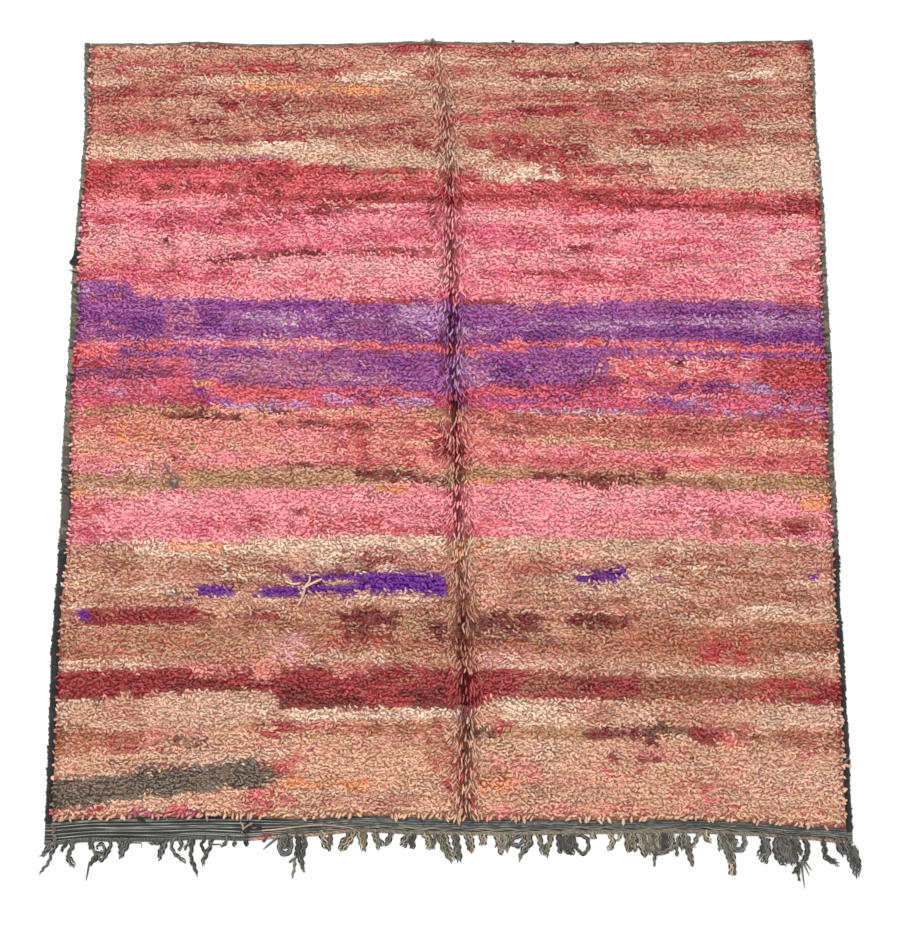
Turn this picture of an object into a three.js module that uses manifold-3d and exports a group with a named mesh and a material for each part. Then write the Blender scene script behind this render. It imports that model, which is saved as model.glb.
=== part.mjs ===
// A hand-knotted Moroccan pile rug that lies flat: a thick pile with a fold crease down its middle,
// dark overcast sides, a narrow edging, a flat-woven end band and a knotted fringe.
// Millimetres. X runs across the rug, Y along it with the fringe at the low end, and Z is up.
import * as THREE from 'three';
import { mergeVertices } from 'three/addons/utils/BufferGeometryUtils.js';
import Module from 'manifold-3d';

const wasm = await Module();
wasm.setup();

// Driving dimensions
const rugWidth = 1850;
const pieceGap = 0.3;
const pileHeight = 21;
const pileLump = 4;
const rimHeight = 12;
const rimRoll = 16;
const creaseDepth = 8;
const creaseOffsets = [-46, -20, 0, 20, 46];
const sideCordHeight = 9;
const edgingWidth = 9;
const edgingHeight = 4;
const bandHeight = 5.5;
const bandCords = 3;
const twineWidth = 7;
const twineHeight = 6;
const strandWidth = 5.5;
const strandHeight = 5;
const strandPitch = 7.5;
const strandStep = 17;
const knotRadius = 8;
const knotHeight = 10;
const fuseTolerance = 0.15;
const weldDistance = 1e-4;

// Shares of a piece's own size: how its section narrows or drops.
const yarnTopShare = 0.62;
const yarnTaper = 0.35;
const yarnShortest = 0.82;
const wrapSlimming = 0.93;
const cordFootShare = 0.8;
const cordTopShare = 0.5;
const edgingShoulder = 0.7;
const bandValley = 0.55;
const twineNearWall = 0.9;
const twineFarWall = 0.54;
const knotTopShare = 0.55;
const knotSides = 6;

// How far a tassel yarn's own bow strays from its tassel's, and seeds for each yarn's chance values.
const bowStray = 1.2;
const yarnSeed = 20000;
const seedsPerTassel = 20;
const seedsPerYarn = 2;

// How many parts the pile is divided into: columns on each side of the crease, and rows along it.
const halfColumns = 17;
const pileRows = 42;

// Both long sides, from the near end to the far one. A bow is how far the outer edge stands outside
// the straight line, and a cord is the width of the overcast side there.
const sideRows = [
  { y: -1000, leftBow: 2, rightBow: 1, leftCord: 19, rightCord: 17 },
  { y: -890, leftBow: 2, rightBow: 0, leftCord: 17, rightCord: 16 },
  { y: -780, leftBow: 3, rightBow: 3, leftCord: 18, rightCord: 17 },
  { y: -670, leftBow: 5, rightBow: 1, leftCord: 20, rightCord: 14 },
  { y: -560, leftBow: 7, rightBow: 2, leftCord: 21, rightCord: 16 },
  { y: -450, leftBow: 4, rightBow: -1, leftCord: 18, rightCord: 15 },
  { y: -335, leftBow: 1, rightBow: 2, leftCord: 22, rightCord: 17 },
  { y: -220, leftBow: 0, rightBow: 2, leftCord: 26, rightCord: 18 },
  { y: -100, leftBow: 3, rightBow: 1, leftCord: 24, rightCord: 20 },
  { y: 15, leftBow: 2, rightBow: 4, leftCord: 19, rightCord: 17 },
  { y: 135, leftBow: 0, rightBow: 7, leftCord: 16, rightCord: 16 },
  { y: 255, leftBow: -1, rightBow: 7, leftCord: 22, rightCord: 20 },
  { y: 380, leftBow: 0, rightBow: 6, leftCord: 17, rightCord: 16 },
  { y: 505, leftBow: -5, rightBow: 8, leftCord: 14, rightCord: 13 },
  { y: 630, leftBow: -10, rightBow: 5, leftCord: 14, rightCord: 12 },
  { y: 755, leftBow: -14, rightBow: -1, leftCord: 14, rightCord: 13 },
  { y: 885, leftBow: -7, rightBow: 2, leftCord: 16, rightCord: 13 },
  { y: 985, leftBow: -4, rightBow: 0, leftCord: 16, rightCord: 12 },
];

// The near end, from left to right: where the pile stops and where the woven band stops.
const nearRows = [
  { x: -925, pile: -939, band: -991 },
  { x: -800, pile: -932, band: -983 },
  { x: -680, pile: -930, band: -984 },
  { x: -560, pile: -929, band: -979 },
  { x: -470, pile: -929, band: -982 },
  { x: -340, pile: -934, band: -973 },
  { x: -200, pile: -926, band: -963 },
  { x: -60, pile: -929, band: -969 },
  { x: 120, pile: -932, band: -971 },
  { x: 350, pile: -935, band: -968 },
  { x: 560, pile: -935, band: -967 },
  { x: 700, pile: -940, band: -973 },
  { x: 800, pile: -948, band: -981 },
  { x: 925, pile: -955, band: -991 },
];

// The far end, from left to right: where the edging stops.
const farRows = [
  { x: -925, edge: 982 },
  { x: -740, edge: 980 },
  { x: -635, edge: 985 },
  { x: -490, edge: 978 },
  { x: -300, edge: 979 },
  { x: -65, edge: 985 },
  { x: 140, edge: 982 },
  { x: 290, edge: 979 },
  { x: 480, edge: 981 },
  { x: 640, edge: 981 },
  { x: 780, edge: 984 },
  { x: 925, edge: 986 },
];

// The crease left by folding, which wanders as it runs from the near end to the far one.
const creaseRows = [
  { y: -943, x: 37 },
  { y: -672, x: 40 },
  { y: -439, x: 32 },
  { y: -140, x: 21 },
  { y: 169, x: 12 },
  { y: 645, x: 5 },
  { y: 738, x: -2 },
  { y: 885, x: -20 },
  { y: 985, x: -42 },
];

// Locks of pile round the rim. Each one starts inside the pile and hangs over the piece beside it,
// so its lift keeps it above that piece.
const rimLocks = [
  { side: 'left', count: 31, reach: 11, lift: 14.4, drop: 1.5 },
  { side: 'right', count: 31, reach: 11, lift: 14.4, drop: 1.5 },
  { side: 'near', count: 34, reach: 15, lift: 12, drop: 3 },
  { side: 'far', count: 28, reach: 9, lift: 11, drop: 1.5 },
];
const lockWidth = 20;
const lockHeight = 6;
const lockRoot = 9;
const lockTaper = 0.5;
const lockShortest = 0.55;
const lockNarrowest = 0.75;
const lockWidthSpread = 0.4;
const lockStray = 0.4;
const lockTurn = 0.5;
const lockSeed = 5000;
const seedsPerSide = 1000;
const seedsPerLock = 10;

// Tassels of the fringe, from left to right: where each hangs from the cord, how many yarns it has,
// how far its tip leans to the right and reaches out, how far it bows, how much it fans out, and
// how far from the cord its knot lies, if it has one.
const tassels = [
  { at: -899, yarns: 4, lean: -36, reach: 34, bow: 4, fan: 1.3, knot: 9 },
  { at: -882, yarns: 1, lean: -52, reach: 72, bow: -13, fan: 1, knot: 0 },
  { at: -861, yarns: 2, lean: 8, reach: 62, bow: 9, fan: 1.2, knot: 0 },
  { at: -821, yarns: 1, lean: -3, reach: 24, bow: 1, fan: 1, knot: 0 },
  { at: -803, yarns: 3, lean: -26, reach: 58, bow: 6, fan: 1.1, knot: 12 },
  { at: -777, yarns: 2, lean: -9, reach: 40, bow: 6, fan: 1, knot: 0 },
  { at: -743, yarns: 4, lean: -12, reach: 43, bow: 3, fan: 0.8, knot: 0 },
  { at: -690, yarns: 2, lean: -8, reach: 20, bow: 0, fan: 1, knot: 0 },
  { at: -663, yarns: 3, lean: 1, reach: 52, bow: 5, fan: 0.9, knot: 0 },
  { at: -624, yarns: 3, lean: 20, reach: 54, bow: -6, fan: 1, knot: 13 },
  { at: -588, yarns: 3, lean: 16, reach: 82, bow: -5, fan: 0.9, knot: 30 },
  { at: -549, yarns: 4, lean: -9, reach: 69, bow: 2, fan: 0.8, knot: 0 },
  { at: -504, yarns: 4, lean: 3, reach: 24, bow: 1, fan: 1.1, knot: 0 },
  { at: -462, yarns: 1, lean: 2, reach: 18, bow: 0, fan: 1, knot: 0 },
  { at: -398, yarns: 1, lean: -28, reach: 26, bow: 0, fan: 1, knot: 0 },
  { at: -377, yarns: 3, lean: 3, reach: 52, bow: 1, fan: 0.8, knot: 0 },
  { at: -345, yarns: 3, lean: -2, reach: 98, bow: 2, fan: 1.3, knot: 52 },
  { at: -280, yarns: 5, lean: 4, reach: 50, bow: 2, fan: 0.9, knot: 0 },
  { at: -234, yarns: 3, lean: 6, reach: 40, bow: 0, fan: 1.1, knot: 0 },
  { at: -199, yarns: 4, lean: 3, reach: 50, bow: 1, fan: 0.9, knot: 0 },
  { at: -153, yarns: 5, lean: 0, reach: 43, bow: -2, fan: 0.9, knot: 0 },
  { at: -97, yarns: 5, lean: 8, reach: 41, bow: 1, fan: 1.1, knot: 0 },
  { at: -44, yarns: 4, lean: -6, reach: 45, bow: 2, fan: 1, knot: 0 },
  { at: 3, yarns: 6, lean: 17, reach: 69, bow: -3, fan: 0.8, knot: 0 },
  { at: 52, yarns: 4, lean: 4, reach: 49, bow: 1, fan: 0.9, knot: 0 },
  { at: 86, yarns: 2, lean: -3, reach: 33, bow: 0, fan: 1, knot: 0 },
  { at: 118, yarns: 3, lean: -4, reach: 55, bow: 2, fan: 0.9, knot: 0 },
  { at: 150, yarns: 2, lean: -2, reach: 38, bow: 0, fan: 1, knot: 14 },
  { at: 179, yarns: 3, lean: -10, reach: 69, bow: -3, fan: 0.9, knot: 0 },
  { at: 212, yarns: 2, lean: 9, reach: 58, bow: 2, fan: 1, knot: 0 },
  { at: 234, yarns: 2, lean: -2, reach: 60, bow: -2, fan: 1, knot: 0 },
  { at: 284, yarns: 6, lean: 0, reach: 57, bow: 3, fan: 0.9, knot: 22 },
  { at: 328, yarns: 2, lean: 2, reach: 18, bow: 0, fan: 1, knot: 0 },
  { at: 368, yarns: 3, lean: -8, reach: 51, bow: -3, fan: 0.9, knot: 0 },
  { at: 393, yarns: 1, lean: 1, reach: 18, bow: 0, fan: 1, knot: 0 },
  { at: 422, yarns: 4, lean: 7, reach: 60, bow: 2, fan: 1.6, knot: 0 },
  { at: 485, yarns: 3, lean: -14, reach: 84, bow: 2, fan: 0.9, knot: 20 },
  { at: 512, yarns: 3, lean: 8, reach: 60, bow: 2, fan: 0.9, knot: 24 },
  { at: 550, yarns: 3, lean: 9, reach: 84, bow: -4, fan: 0.8, knot: 0 },
  { at: 592, yarns: 3, lean: 10, reach: 28, bow: 0, fan: 1.3, knot: 0 },
  { at: 634, yarns: 4, lean: 8, reach: 95, bow: 4, fan: 0.8, knot: 0 },
  { at: 667, yarns: 2, lean: 6, reach: 45, bow: 4, fan: 0.9, knot: 0 },
  { at: 707, yarns: 2, lean: -4, reach: 71, bow: 4, fan: 1.2, knot: 0 },
  { at: 758, yarns: 4, lean: -2, reach: 69, bow: 3, fan: 0.9, knot: 34 },
  { at: 786, yarns: 2, lean: 9, reach: 112, bow: 4, fan: 2, knot: 62 },
  { at: 813, yarns: 2, lean: 0, reach: 98, bow: 9, fan: 2, knot: 0 },
  { at: 856, yarns: 2, lean: 40, reach: 69, bow: -13, fan: 1, knot: 0 },
  { at: 886, yarns: 1, lean: 21, reach: 45, bow: 2, fan: 1, knot: 0 },
  { at: 908, yarns: 2, lean: 29, reach: 89, bow: 5, fan: 0.8, knot: 0 },
];

const materials = {
  pile: new THREE.MeshStandardMaterial({ color: 0xc98670, roughness: 0.95, metalness: 0 }),
  sideCord: new THREE.MeshStandardMaterial({ color: 0x3d3b37, roughness: 0.9, metalness: 0 }),
  band: new THREE.MeshStandardMaterial({ color: 0x55544f, roughness: 0.9, metalness: 0 }),
  fringe: new THREE.MeshStandardMaterial({ color: 0x6c675c, roughness: 0.95, metalness: 0 }),
};

// A repeatable chance value from 0 to 1 for each whole number.
const chanceStride = 7919;
const chanceStart = 17;

function chance(n) {
  return THREE.MathUtils.seededRandom(n * chanceStride + chanceStart);
}

// Reads a column of a table at any place between its rows, with no corner at a row.
function along(rows, place, column, value) {
  const next = rows.findIndex((row) => row[place] >= value);
  if (next === 0) {
    return rows[0][column];
  }
  if (next < 0) {
    return rows[rows.length - 1][column];
  }
  const before = rows[next - 1];
  const after = rows[next];
  const share = THREE.MathUtils.smoothstep(value, before[place], after[place]);
  return THREE.MathUtils.lerp(before[column], after[column], share);
}

const nearPile = (x) => along(nearRows, 'x', 'pile', x);
const nearBand = (x) => along(nearRows, 'x', 'band', x);
const farEdge = (x) => along(farRows, 'x', 'edge', x);
const farPile = (x) => farEdge(x) - edgingWidth;
const creaseAt = (y) => along(creaseRows, 'y', 'x', y);

// The outer and inner edge of a side cord. side is -1 on the left and 1 on the right.
function outerEdge(side, y) {
  const bow = along(sideRows, 'y', side < 0 ? 'leftBow' : 'rightBow', y);
  return side * (rugWidth / 2 + bow);
}

function innerEdge(side, y) {
  const cord = along(sideRows, 'y', side < 0 ? 'leftCord' : 'rightCord', y);
  return outerEdge(side, y) - side * cord;
}

const columnCount = 2 * halfColumns + creaseOffsets.length;

// X of a column of the pile at a place along the rug. The outermost column on each side is narrow,
// because the pile rolls over there, and the middle ones follow the crease.
function columnX(column, y) {
  const fromRight = columnCount - 1 - column;
  const inCrease = column - halfColumns;
  if (inCrease >= 0 && fromRight >= halfColumns) {
    return creaseAt(y) + creaseOffsets[inCrease];
  }
  const side = inCrease < 0 ? -1 : 1;
  const fromSide = Math.min(column, fromRight);
  const edge = innerEdge(side, y);
  if (fromSide === 0) {
    return edge;
  }
  const creaseSide = creaseAt(y) + (side < 0 ? creaseOffsets[0] : creaseOffsets.at(-1));
  const share = (fromSide - 1) / (halfColumns - 1);
  return THREE.MathUtils.lerp(edge - side * rimRoll, creaseSide, share);
}

// Y of a row of the pile where the near and far ends are given. The first and last rows are narrow.
function rowY(row, near, far) {
  if (row === 0) {
    return near;
  }
  if (row === pileRows) {
    return far;
  }
  return THREE.MathUtils.lerp(near + rimRoll, far - rimRoll, (row - 1) / (pileRows - 2));
}

// The columns' places half way along the rug stand for them where an end's outline is read.
const midColumns = Array.from({ length: columnCount }, (_, column) => columnX(column, 0));

function geometryOf(points, faces) {
  const geometry = new THREE.BufferGeometry();
  geometry.setAttribute('position', new THREE.Float32BufferAttribute(points.flat(), 3));
  geometry.setIndex(faces);
  return geometry;
}

// A closed solid through a row of sections. Each section is a ring of points that runs
// anticlockwise as the next section would see it looking back, and both ends are fans.
function loft(sections) {
  const ring = sections[0].length;
  const faces = [];
  for (let section = 0; section + 1 < sections.length; section++) {
    for (let corner = 0; corner < ring; corner++) {
      const a = section * ring + corner;
      const b = section * ring + ((corner + 1) % ring);
      faces.push(a, b, a + ring, b, b + ring, a + ring);
    }
  }
  const last = (sections.length - 1) * ring;
  for (let corner = 1; corner + 1 < ring; corner++) {
    faces.push(0, corner + 1, corner);
    faces.push(last, last + corner, last + corner + 1);
  }
  return geometryOf(sections.flat(), faces);
}

function solidOf(geometry) {
  const merged = geometry.clone();
  merged.deleteAttribute('normal');
  merged.deleteAttribute('uv');
  const clean = mergeVertices(merged, weldDistance);
  const vertProperties = new Float32Array(clean.attributes.position.array);
  const triVerts = new Uint32Array(clean.index.array);
  return new wasm.Manifold(new wasm.Mesh({ numProp: 3, vertProperties, triVerts }));
}

// One closed geometry out of a body and everything that grows from it.
function fuse(body, growths) {
  let whole = solidOf(body);
  for (const growth of growths) {
    whole = whole.add(solidOf(growth));
  }
  const mesh = whole.asOriginal().simplify(fuseTolerance).getMesh();
  const geometry = new THREE.BufferGeometry();
  geometry.setAttribute('position', new THREE.BufferAttribute(mesh.vertProperties, 3));
  geometry.setIndex(new THREE.BufferAttribute(mesh.triVerts, 1));
  return geometry;
}

function meshOf(name, geometry, material) {
  geometry.computeVertexNormals();
  const mesh = new THREE.Mesh(geometry, material);
  mesh.name = name;
  return mesh;
}

// The pile's height at a column and row: low at the rim, lumpy inside and parted along the crease.
const seedsPerColumn = 101;

function pileTop(column, row) {
  const roll = chance(column * seedsPerColumn + row);
  const onRim = column === 0 || column === columnCount - 1 || row === 0 || row === pileRows;
  if (onRim) {
    return rimHeight + roll;
  }
  const inCrease = Math.abs(column - (columnCount - 1) / 2);
  const reach = (creaseOffsets.length - 1) / 2;
  const parted = inCrease < reach ? creaseDepth * (1 - inCrease / reach) : 0;
  return pileHeight + pileLump * (2 * roll - 1) - parted;
}

function pilePoint(column, row) {
  const x = midColumns[column];
  const y = rowY(row, nearPile(x), farPile(x));
  return [columnX(column, y), y, pileTop(column, row)];
}

// The lumpy slab of the pile on its flat ground weave, whose underside is one flat face.
function pileSlab() {
  const points = [];
  const faces = [];
  for (let row = 0; row <= pileRows; row++) {
    for (let column = 0; column < columnCount; column++) {
      points.push(pilePoint(column, row));
    }
  }
  for (let row = 0; row < pileRows; row++) {
    for (let column = 0; column + 1 < columnCount; column++) {
      const a = row * columnCount + column;
      const c = a + columnCount;
      if ((row + column) % 2) {
        faces.push(a, a + 1, c, a + 1, c + 1, c);
      } else {
        faces.push(a, a + 1, c + 1, a, c + 1, c);
      }
    }
  }
  const rim = rimOrder();
  const base = points.length;
  for (const index of rim) {
    points.push([points[index][0], points[index][1], 0]);
  }
  const centre = points.length;
  points.push([0, 0, 0]);
  rim.forEach((top, i) => {
    const next = (i + 1) % rim.length;
    faces.push(base + i, base + next, top, base + next, rim[next], top);
    faces.push(centre, base + next, base + i);
  });
  return geometryOf(points, faces);
}

// The rim's points in the order that runs anticlockwise as seen from above.
function rimOrder() {
  const lastColumn = columnCount - 1;
  const order = [];
  for (let column = 0; column < lastColumn; column++) {
    order.push(column);
  }
  for (let row = 0; row < pileRows; row++) {
    order.push(row * columnCount + lastColumn);
  }
  for (let column = lastColumn; column > 0; column--) {
    order.push(pileRows * columnCount + column);
  }
  for (let row = pileRows; row > 0; row--) {
    order.push(row * columnCount);
  }
  return order;
}

// A four-sided tapering section of a lock or a yarn, square to the way that it runs.
function yarnSection(centre, direction, width, height, bottom) {
  const across = [-direction[1] * (width / 2), direction[0] * (width / 2)];
  const corner = (share, z) => [centre[0] + across[0] * share, centre[1] + across[1] * share, z];
  return [
    corner(1, bottom),
    corner(yarnTopShare, bottom + height),
    corner(-yarnTopShare, bottom + height),
    corner(-1, bottom),
  ];
}

// Where a lock leaves the rim, and the way that it points, for a share of the rim's side.
function lockPlace(side, share) {
  if (side === 'left' || side === 'right') {
    const sign = side === 'left' ? -1 : 1;
    const x = innerEdge(sign, 0);
    const y = THREE.MathUtils.lerp(nearPile(x), farPile(x), share);
    return { at: [innerEdge(sign, y), y], out: [sign, 0] };
  }
  const x = THREE.MathUtils.lerp(innerEdge(-1, 0), innerEdge(1, 0), share);
  if (side === 'near') {
    return { at: [x, nearPile(x)], out: [0, -1] };
  }
  return { at: [x, farPile(x)], out: [0, 1] };
}

function pileLocks() {
  const locks = [];
  rimLocks.forEach(({ side, count, reach, lift, drop }, group) => {
    for (let i = 0; i < count; i++) {
      const roll = (n) => chance(lockSeed + group * seedsPerSide + i * seedsPerLock + n);
      const { at, out } = lockPlace(side, (i + 0.5 + lockStray * (roll(0) - 0.5)) / count);
      const turn = lockTurn * (2 * roll(1) - 1);
      const way = new THREE.Vector2(...out).rotateAround(new THREE.Vector2(), turn);
      const long = reach * THREE.MathUtils.lerp(lockShortest, 1, roll(2));
      const wide = lockWidth * (lockNarrowest + lockWidthSpread * roll(3));
      const root = [at[0] - way.x * lockRoot, at[1] - way.y * lockRoot];
      const tip = [at[0] + way.x * long, at[1] + way.y * long];
      const direction = way.toArray();
      const bottom = lift - lockHeight / 2;
      const tipBottom = lift - drop - (lockHeight * lockTaper) / 2;
      locks.push(loft([
        yarnSection(root, direction, wide, lockHeight, bottom),
        yarnSection(tip, direction, wide * lockTaper, lockHeight * lockTaper, tipBottom),
      ]));
    }
  });
  return locks;
}

// The overcast side: warps wrapped with thick yarn, so every other section is a little slimmer.
function sideCord(side) {
  const x = midColumns[side < 0 ? 0 : columnCount - 1];
  const ends = [nearBand(x), (nearBand(x) + nearPile(x)) / 2];
  const rows = Array.from({ length: pileRows + 1 }, (_, row) => rowY(row, nearPile(x), farPile(x)));
  const places = [...ends, ...rows, farEdge(x)];
  const half = [[cordFootShare, 0], [1, 0.5], [cordTopShare, 1]];
  const profile = [...half, ...half.map(([across, up]) => [-across, up]).reverse()];
  const sections = places.map((y, i) => {
    const wrap = i % 2 ? wrapSlimming : 1;
    const outer = outerEdge(side, y);
    const inner = innerEdge(side, y) + side * pieceGap;
    const centre = (outer + inner) / 2;
    const reach = (Math.abs(outer - inner) / 2) * wrap;
    return profile.map(([across, up]) => [centre - across * reach, y, up * sideCordHeight * wrap]);
  });
  return loft(sections);
}

// A strip between the side cords that follows the columns of the pile. edges gives its high and
// low edge at an X, and heights its points from the high edge to the low one.
function crossStrip(columns, edges, profile) {
  const sections = columns.map(({ x, at }) => {
    const { high, low } = edges(at);
    return profile.map(([share, up]) => {
      const y = THREE.MathUtils.lerp(high, low, share);
      return [x(y), y, up];
    });
  });
  return loft(sections);
}

// The pile's own columns, drawn in by the gap where they meet the side cords.
const innerColumns = midColumns.map((at, column) => {
  const inset = (column === 0 ? pieceGap : 0) - (column === columnCount - 1 ? pieceGap : 0);
  return { at, x: (y) => columnX(column, y) + inset };
});

function edging() {
  const edges = (x) => ({ high: farEdge(x), low: farPile(x) + pieceGap });
  const shoulder = edgingHeight * edgingShoulder;
  const profile = [[0, 0], [0, shoulder], [0.5, edgingHeight], [1, shoulder], [1, 0]];
  return crossStrip(innerColumns, edges, profile);
}

// The flat-woven end: thick weft cords side by side, so its section is a row of low ridges.
function endBand() {
  const edges = (x) => ({ high: nearPile(x) - pieceGap, low: nearBand(x) });
  const valley = bandHeight * bandValley;
  const profile = [[0, 0], [0, valley]];
  for (let cord = 0; cord < bandCords; cord++) {
    profile.push([(cord + 0.5) / bandCords, bandHeight]);
    profile.push([(cord + 1) / bandCords, valley]);
  }
  profile.push([1, 0]);
  const baseMiddle = [0.5, 0];
  return crossStrip(innerColumns, edges, [baseMiddle, ...profile]);
}

// The two-ply cord under the band, which runs under the ends of the side cords as well.
function twineCord() {
  const ends = [-1, 1].map((side) => {
    const x = outerEdge(side, nearBand(side * rugWidth));
    return { at: x, x: () => x };
  });
  const inner = midColumns.map((at, column) => ({ at, x: (y) => columnX(column, y) }));
  const columns = [ends[0], ...inner, ends[1]];
  const edges = (x) => {
    const high = nearBand(x) - pieceGap;
    return { high, low: high - twineWidth };
  };
  const farWall = twineHeight * twineFarWall;
  const nearWall = twineHeight * twineNearWall;
  const profile = [[0, 0], [0, farWall], [0.5, twineHeight], [1, nearWall], [1, 0]];
  return crossStrip(columns, edges, profile);
}

// One yarn of a tassel, level on the floor from inside the cord to its tip.
function tasselYarn(tassel, yarn, seed) {
  const offset = (yarn - (tassel.yarns - 1) / 2) * strandPitch;
  const rootX = tassel.at + offset;
  const rootY = nearBand(rootX) - pieceGap - twineWidth / 2;
  const reach = tassel.reach * THREE.MathUtils.lerp(yarnShortest, 1, chance(seed));
  const lean = tassel.lean + offset * (tassel.fan - 1);
  const bow = tassel.bow + bowStray * (2 * chance(seed + 1) - 1);
  const path = new THREE.CubicBezierCurve(
    new THREE.Vector2(rootX, rootY),
    new THREE.Vector2(rootX + bow, rootY - reach / 3),
    new THREE.Vector2(rootX + lean / 2 + bow, rootY - (reach * 2) / 3),
    new THREE.Vector2(rootX + lean, rootY - reach),
  );
  const steps = Math.max(2, Math.round(reach / strandStep));
  const sections = [];
  for (let step = 0; step <= steps; step++) {
    const share = step / steps;
    const slim = 1 - yarnTaper * share * share;
    const centre = path.getPoint(share).toArray();
    const way = path.getTangent(share).toArray();
    sections.push(yarnSection(centre, way, strandWidth * slim, strandHeight * slim, 0));
  }
  return loft(sections);
}

// The knot that gathers a tassel's yarns, a low six-sided lump that sits on the floor.
function tasselKnot(tassel) {
  const share = tassel.knot / tassel.reach;
  const x = tassel.at + tassel.lean * share * share + tassel.bow * share;
  const y = nearBand(tassel.at) - pieceGap - twineWidth / 2 - tassel.knot;
  const topRadius = knotRadius * knotTopShare;
  const knot = new THREE.CylinderGeometry(topRadius, knotRadius, knotHeight, knotSides);
  knot.rotateX(Math.PI / 2);
  knot.translate(x, y, knotHeight / 2);
  return knot;
}

function fringe() {
  const growths = [];
  tassels.forEach((tassel, i) => {
    for (let yarn = 0; yarn < tassel.yarns; yarn++) {
      const seed = yarnSeed + i * seedsPerTassel + yarn * seedsPerYarn;
      growths.push(tasselYarn(tassel, yarn, seed));
    }
    if (tassel.knot) {
      growths.push(tasselKnot(tassel));
    }
  });
  return fuse(twineCord(), growths);
}

const rug = new THREE.Group();
rug.add(meshOf('pile_field', fuse(pileSlab(), pileLocks()), materials.pile));
rug.add(meshOf('side_cord_left', sideCord(-1), materials.sideCord));
rug.add(meshOf('side_cord_right', sideCord(1), materials.sideCord));
rug.add(meshOf('top_edging', edging(), materials.sideCord));
rug.add(meshOf('end_band', endBand(), materials.band));
rug.add(meshOf('fringe', fringe(), materials.fringe));

// The part stands on the floor with the middle of its whole outline, fringe and all, over the origin.
const whole = new THREE.Box3().setFromObject(rug, true);
const middle = whole.getCenter(new THREE.Vector3());
rug.position.set(-middle.x, -middle.y, -whole.min.z);

const part = new THREE.Group();
part.add(rug);

export default part;
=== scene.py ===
# A hand-knotted Moroccan rug: thick wool pile in abrash streaks, dark overcast sides,
# a flat-woven end band and a knotted fringe. Metres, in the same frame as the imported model.
import math

import bpy
import numpy as np
from mathutils import Matrix, Vector


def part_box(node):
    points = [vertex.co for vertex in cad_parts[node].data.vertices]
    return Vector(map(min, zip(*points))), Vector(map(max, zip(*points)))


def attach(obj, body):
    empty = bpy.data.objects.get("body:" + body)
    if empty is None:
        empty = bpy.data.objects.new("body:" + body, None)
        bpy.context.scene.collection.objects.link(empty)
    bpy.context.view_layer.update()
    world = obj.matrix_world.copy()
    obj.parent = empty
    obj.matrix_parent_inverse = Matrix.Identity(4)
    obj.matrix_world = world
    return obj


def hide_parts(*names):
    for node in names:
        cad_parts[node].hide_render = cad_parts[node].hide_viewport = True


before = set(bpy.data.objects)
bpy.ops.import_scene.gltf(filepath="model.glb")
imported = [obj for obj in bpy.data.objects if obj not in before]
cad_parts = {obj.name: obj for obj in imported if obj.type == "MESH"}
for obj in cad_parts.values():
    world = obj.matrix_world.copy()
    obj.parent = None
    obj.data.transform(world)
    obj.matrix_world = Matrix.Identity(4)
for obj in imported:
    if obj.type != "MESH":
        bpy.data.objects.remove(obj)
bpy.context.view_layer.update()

mm = 0.001

# The rug's plan, in millimetres about its own middle

plan = {
    "width": 1850,
    "gap": 0.3,
    "edgingWidth": 9,
    "sideCordHeight": 9,
    "twineWidth": 7,
    "edgingSlack": 0.1,
}
halfWidth = plan["width"] / 2


def table(columns, rows):
    return [dict(zip(columns, row)) for row in rows]


# How far each side bows out, and how wide its cord is, from near to far
sideRows = table(("y", "leftBow", "rightBow", "leftCord", "rightCord"), [
    (-1000, 2, 1, 19, 17), (-890, 2, 0, 17, 16), (-780, 3, 3, 18, 17), (-670, 5, 1, 20, 14),
    (-560, 7, 2, 21, 16), (-450, 4, -1, 18, 15), (-335, 1, 2, 22, 17), (-220, 0, 2, 26, 18),
    (-100, 3, 1, 24, 20), (15, 2, 4, 19, 17), (135, 0, 7, 16, 16), (255, -1, 7, 22, 20),
    (380, 0, 6, 17, 16), (505, -5, 8, 14, 13), (630, -10, 5, 14, 12), (755, -14, -1, 14, 13),
    (885, -7, 2, 16, 13), (985, -4, 0, 16, 12),
])

# Where the pile and the woven band stop at the near end, from left to right
nearRows = table(("x", "pile", "band"), [
    (-925, -945, -991), (-800, -938, -983), (-680, -936, -984), (-560, -935, -979),
    (-470, -935, -982), (-340, -941, -973), (-200, -933, -963), (-60, -938, -969),
    (120, -941, -971), (350, -944, -968), (560, -944, -967), (700, -949, -973), (800, -957, -981),
    (925, -964, -991),
])

# Where the edging stops at the far end
farRows = table(("x", "edge"), [
    (-925, 982), (-740, 980), (-635, 985), (-490, 978), (-300, 979), (-65, 985), (140, 982),
    (290, 979), (480, 981), (640, 981), (780, 984), (925, 986),
])

# The crease left by folding
creaseRows = table(("y", "x"), [
    (-943, 37), (-672, 40), (-439, 32), (-140, 21), (169, 12), (645, 5), (738, -2), (885, -20),
    (985, -42),
])


# Reads a column of a table between its rows, with no corner at a row
def follow(rows, place, column, at):
    places = np.array([row[place] for row in rows], float)
    values = np.array([row[column] for row in rows], float)
    low = np.clip(np.searchsorted(places, at) - 1, 0, len(rows) - 2)
    share = np.clip((at - places[low]) / (places[low + 1] - places[low]), 0, 1)
    share = share * share * (3 - 2 * share)
    return values[low] + (values[low + 1] - values[low]) * share


def nearPile(x):
    return follow(nearRows, "x", "pile", x)


def nearBand(x):
    return follow(nearRows, "x", "band", x)


def farEdge(x):
    return follow(farRows, "x", "edge", x)


def farPile(x):
    return farEdge(x) - plan["edgingWidth"]


def creaseAt(y):
    return follow(creaseRows, "y", "x", y)


# side is -1 on the left and 1 on the right
def outerEdge(side, y):
    bow = follow(sideRows, "y", "leftBow" if side < 0 else "rightBow", y)
    return side * (halfWidth + bow)


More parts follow.
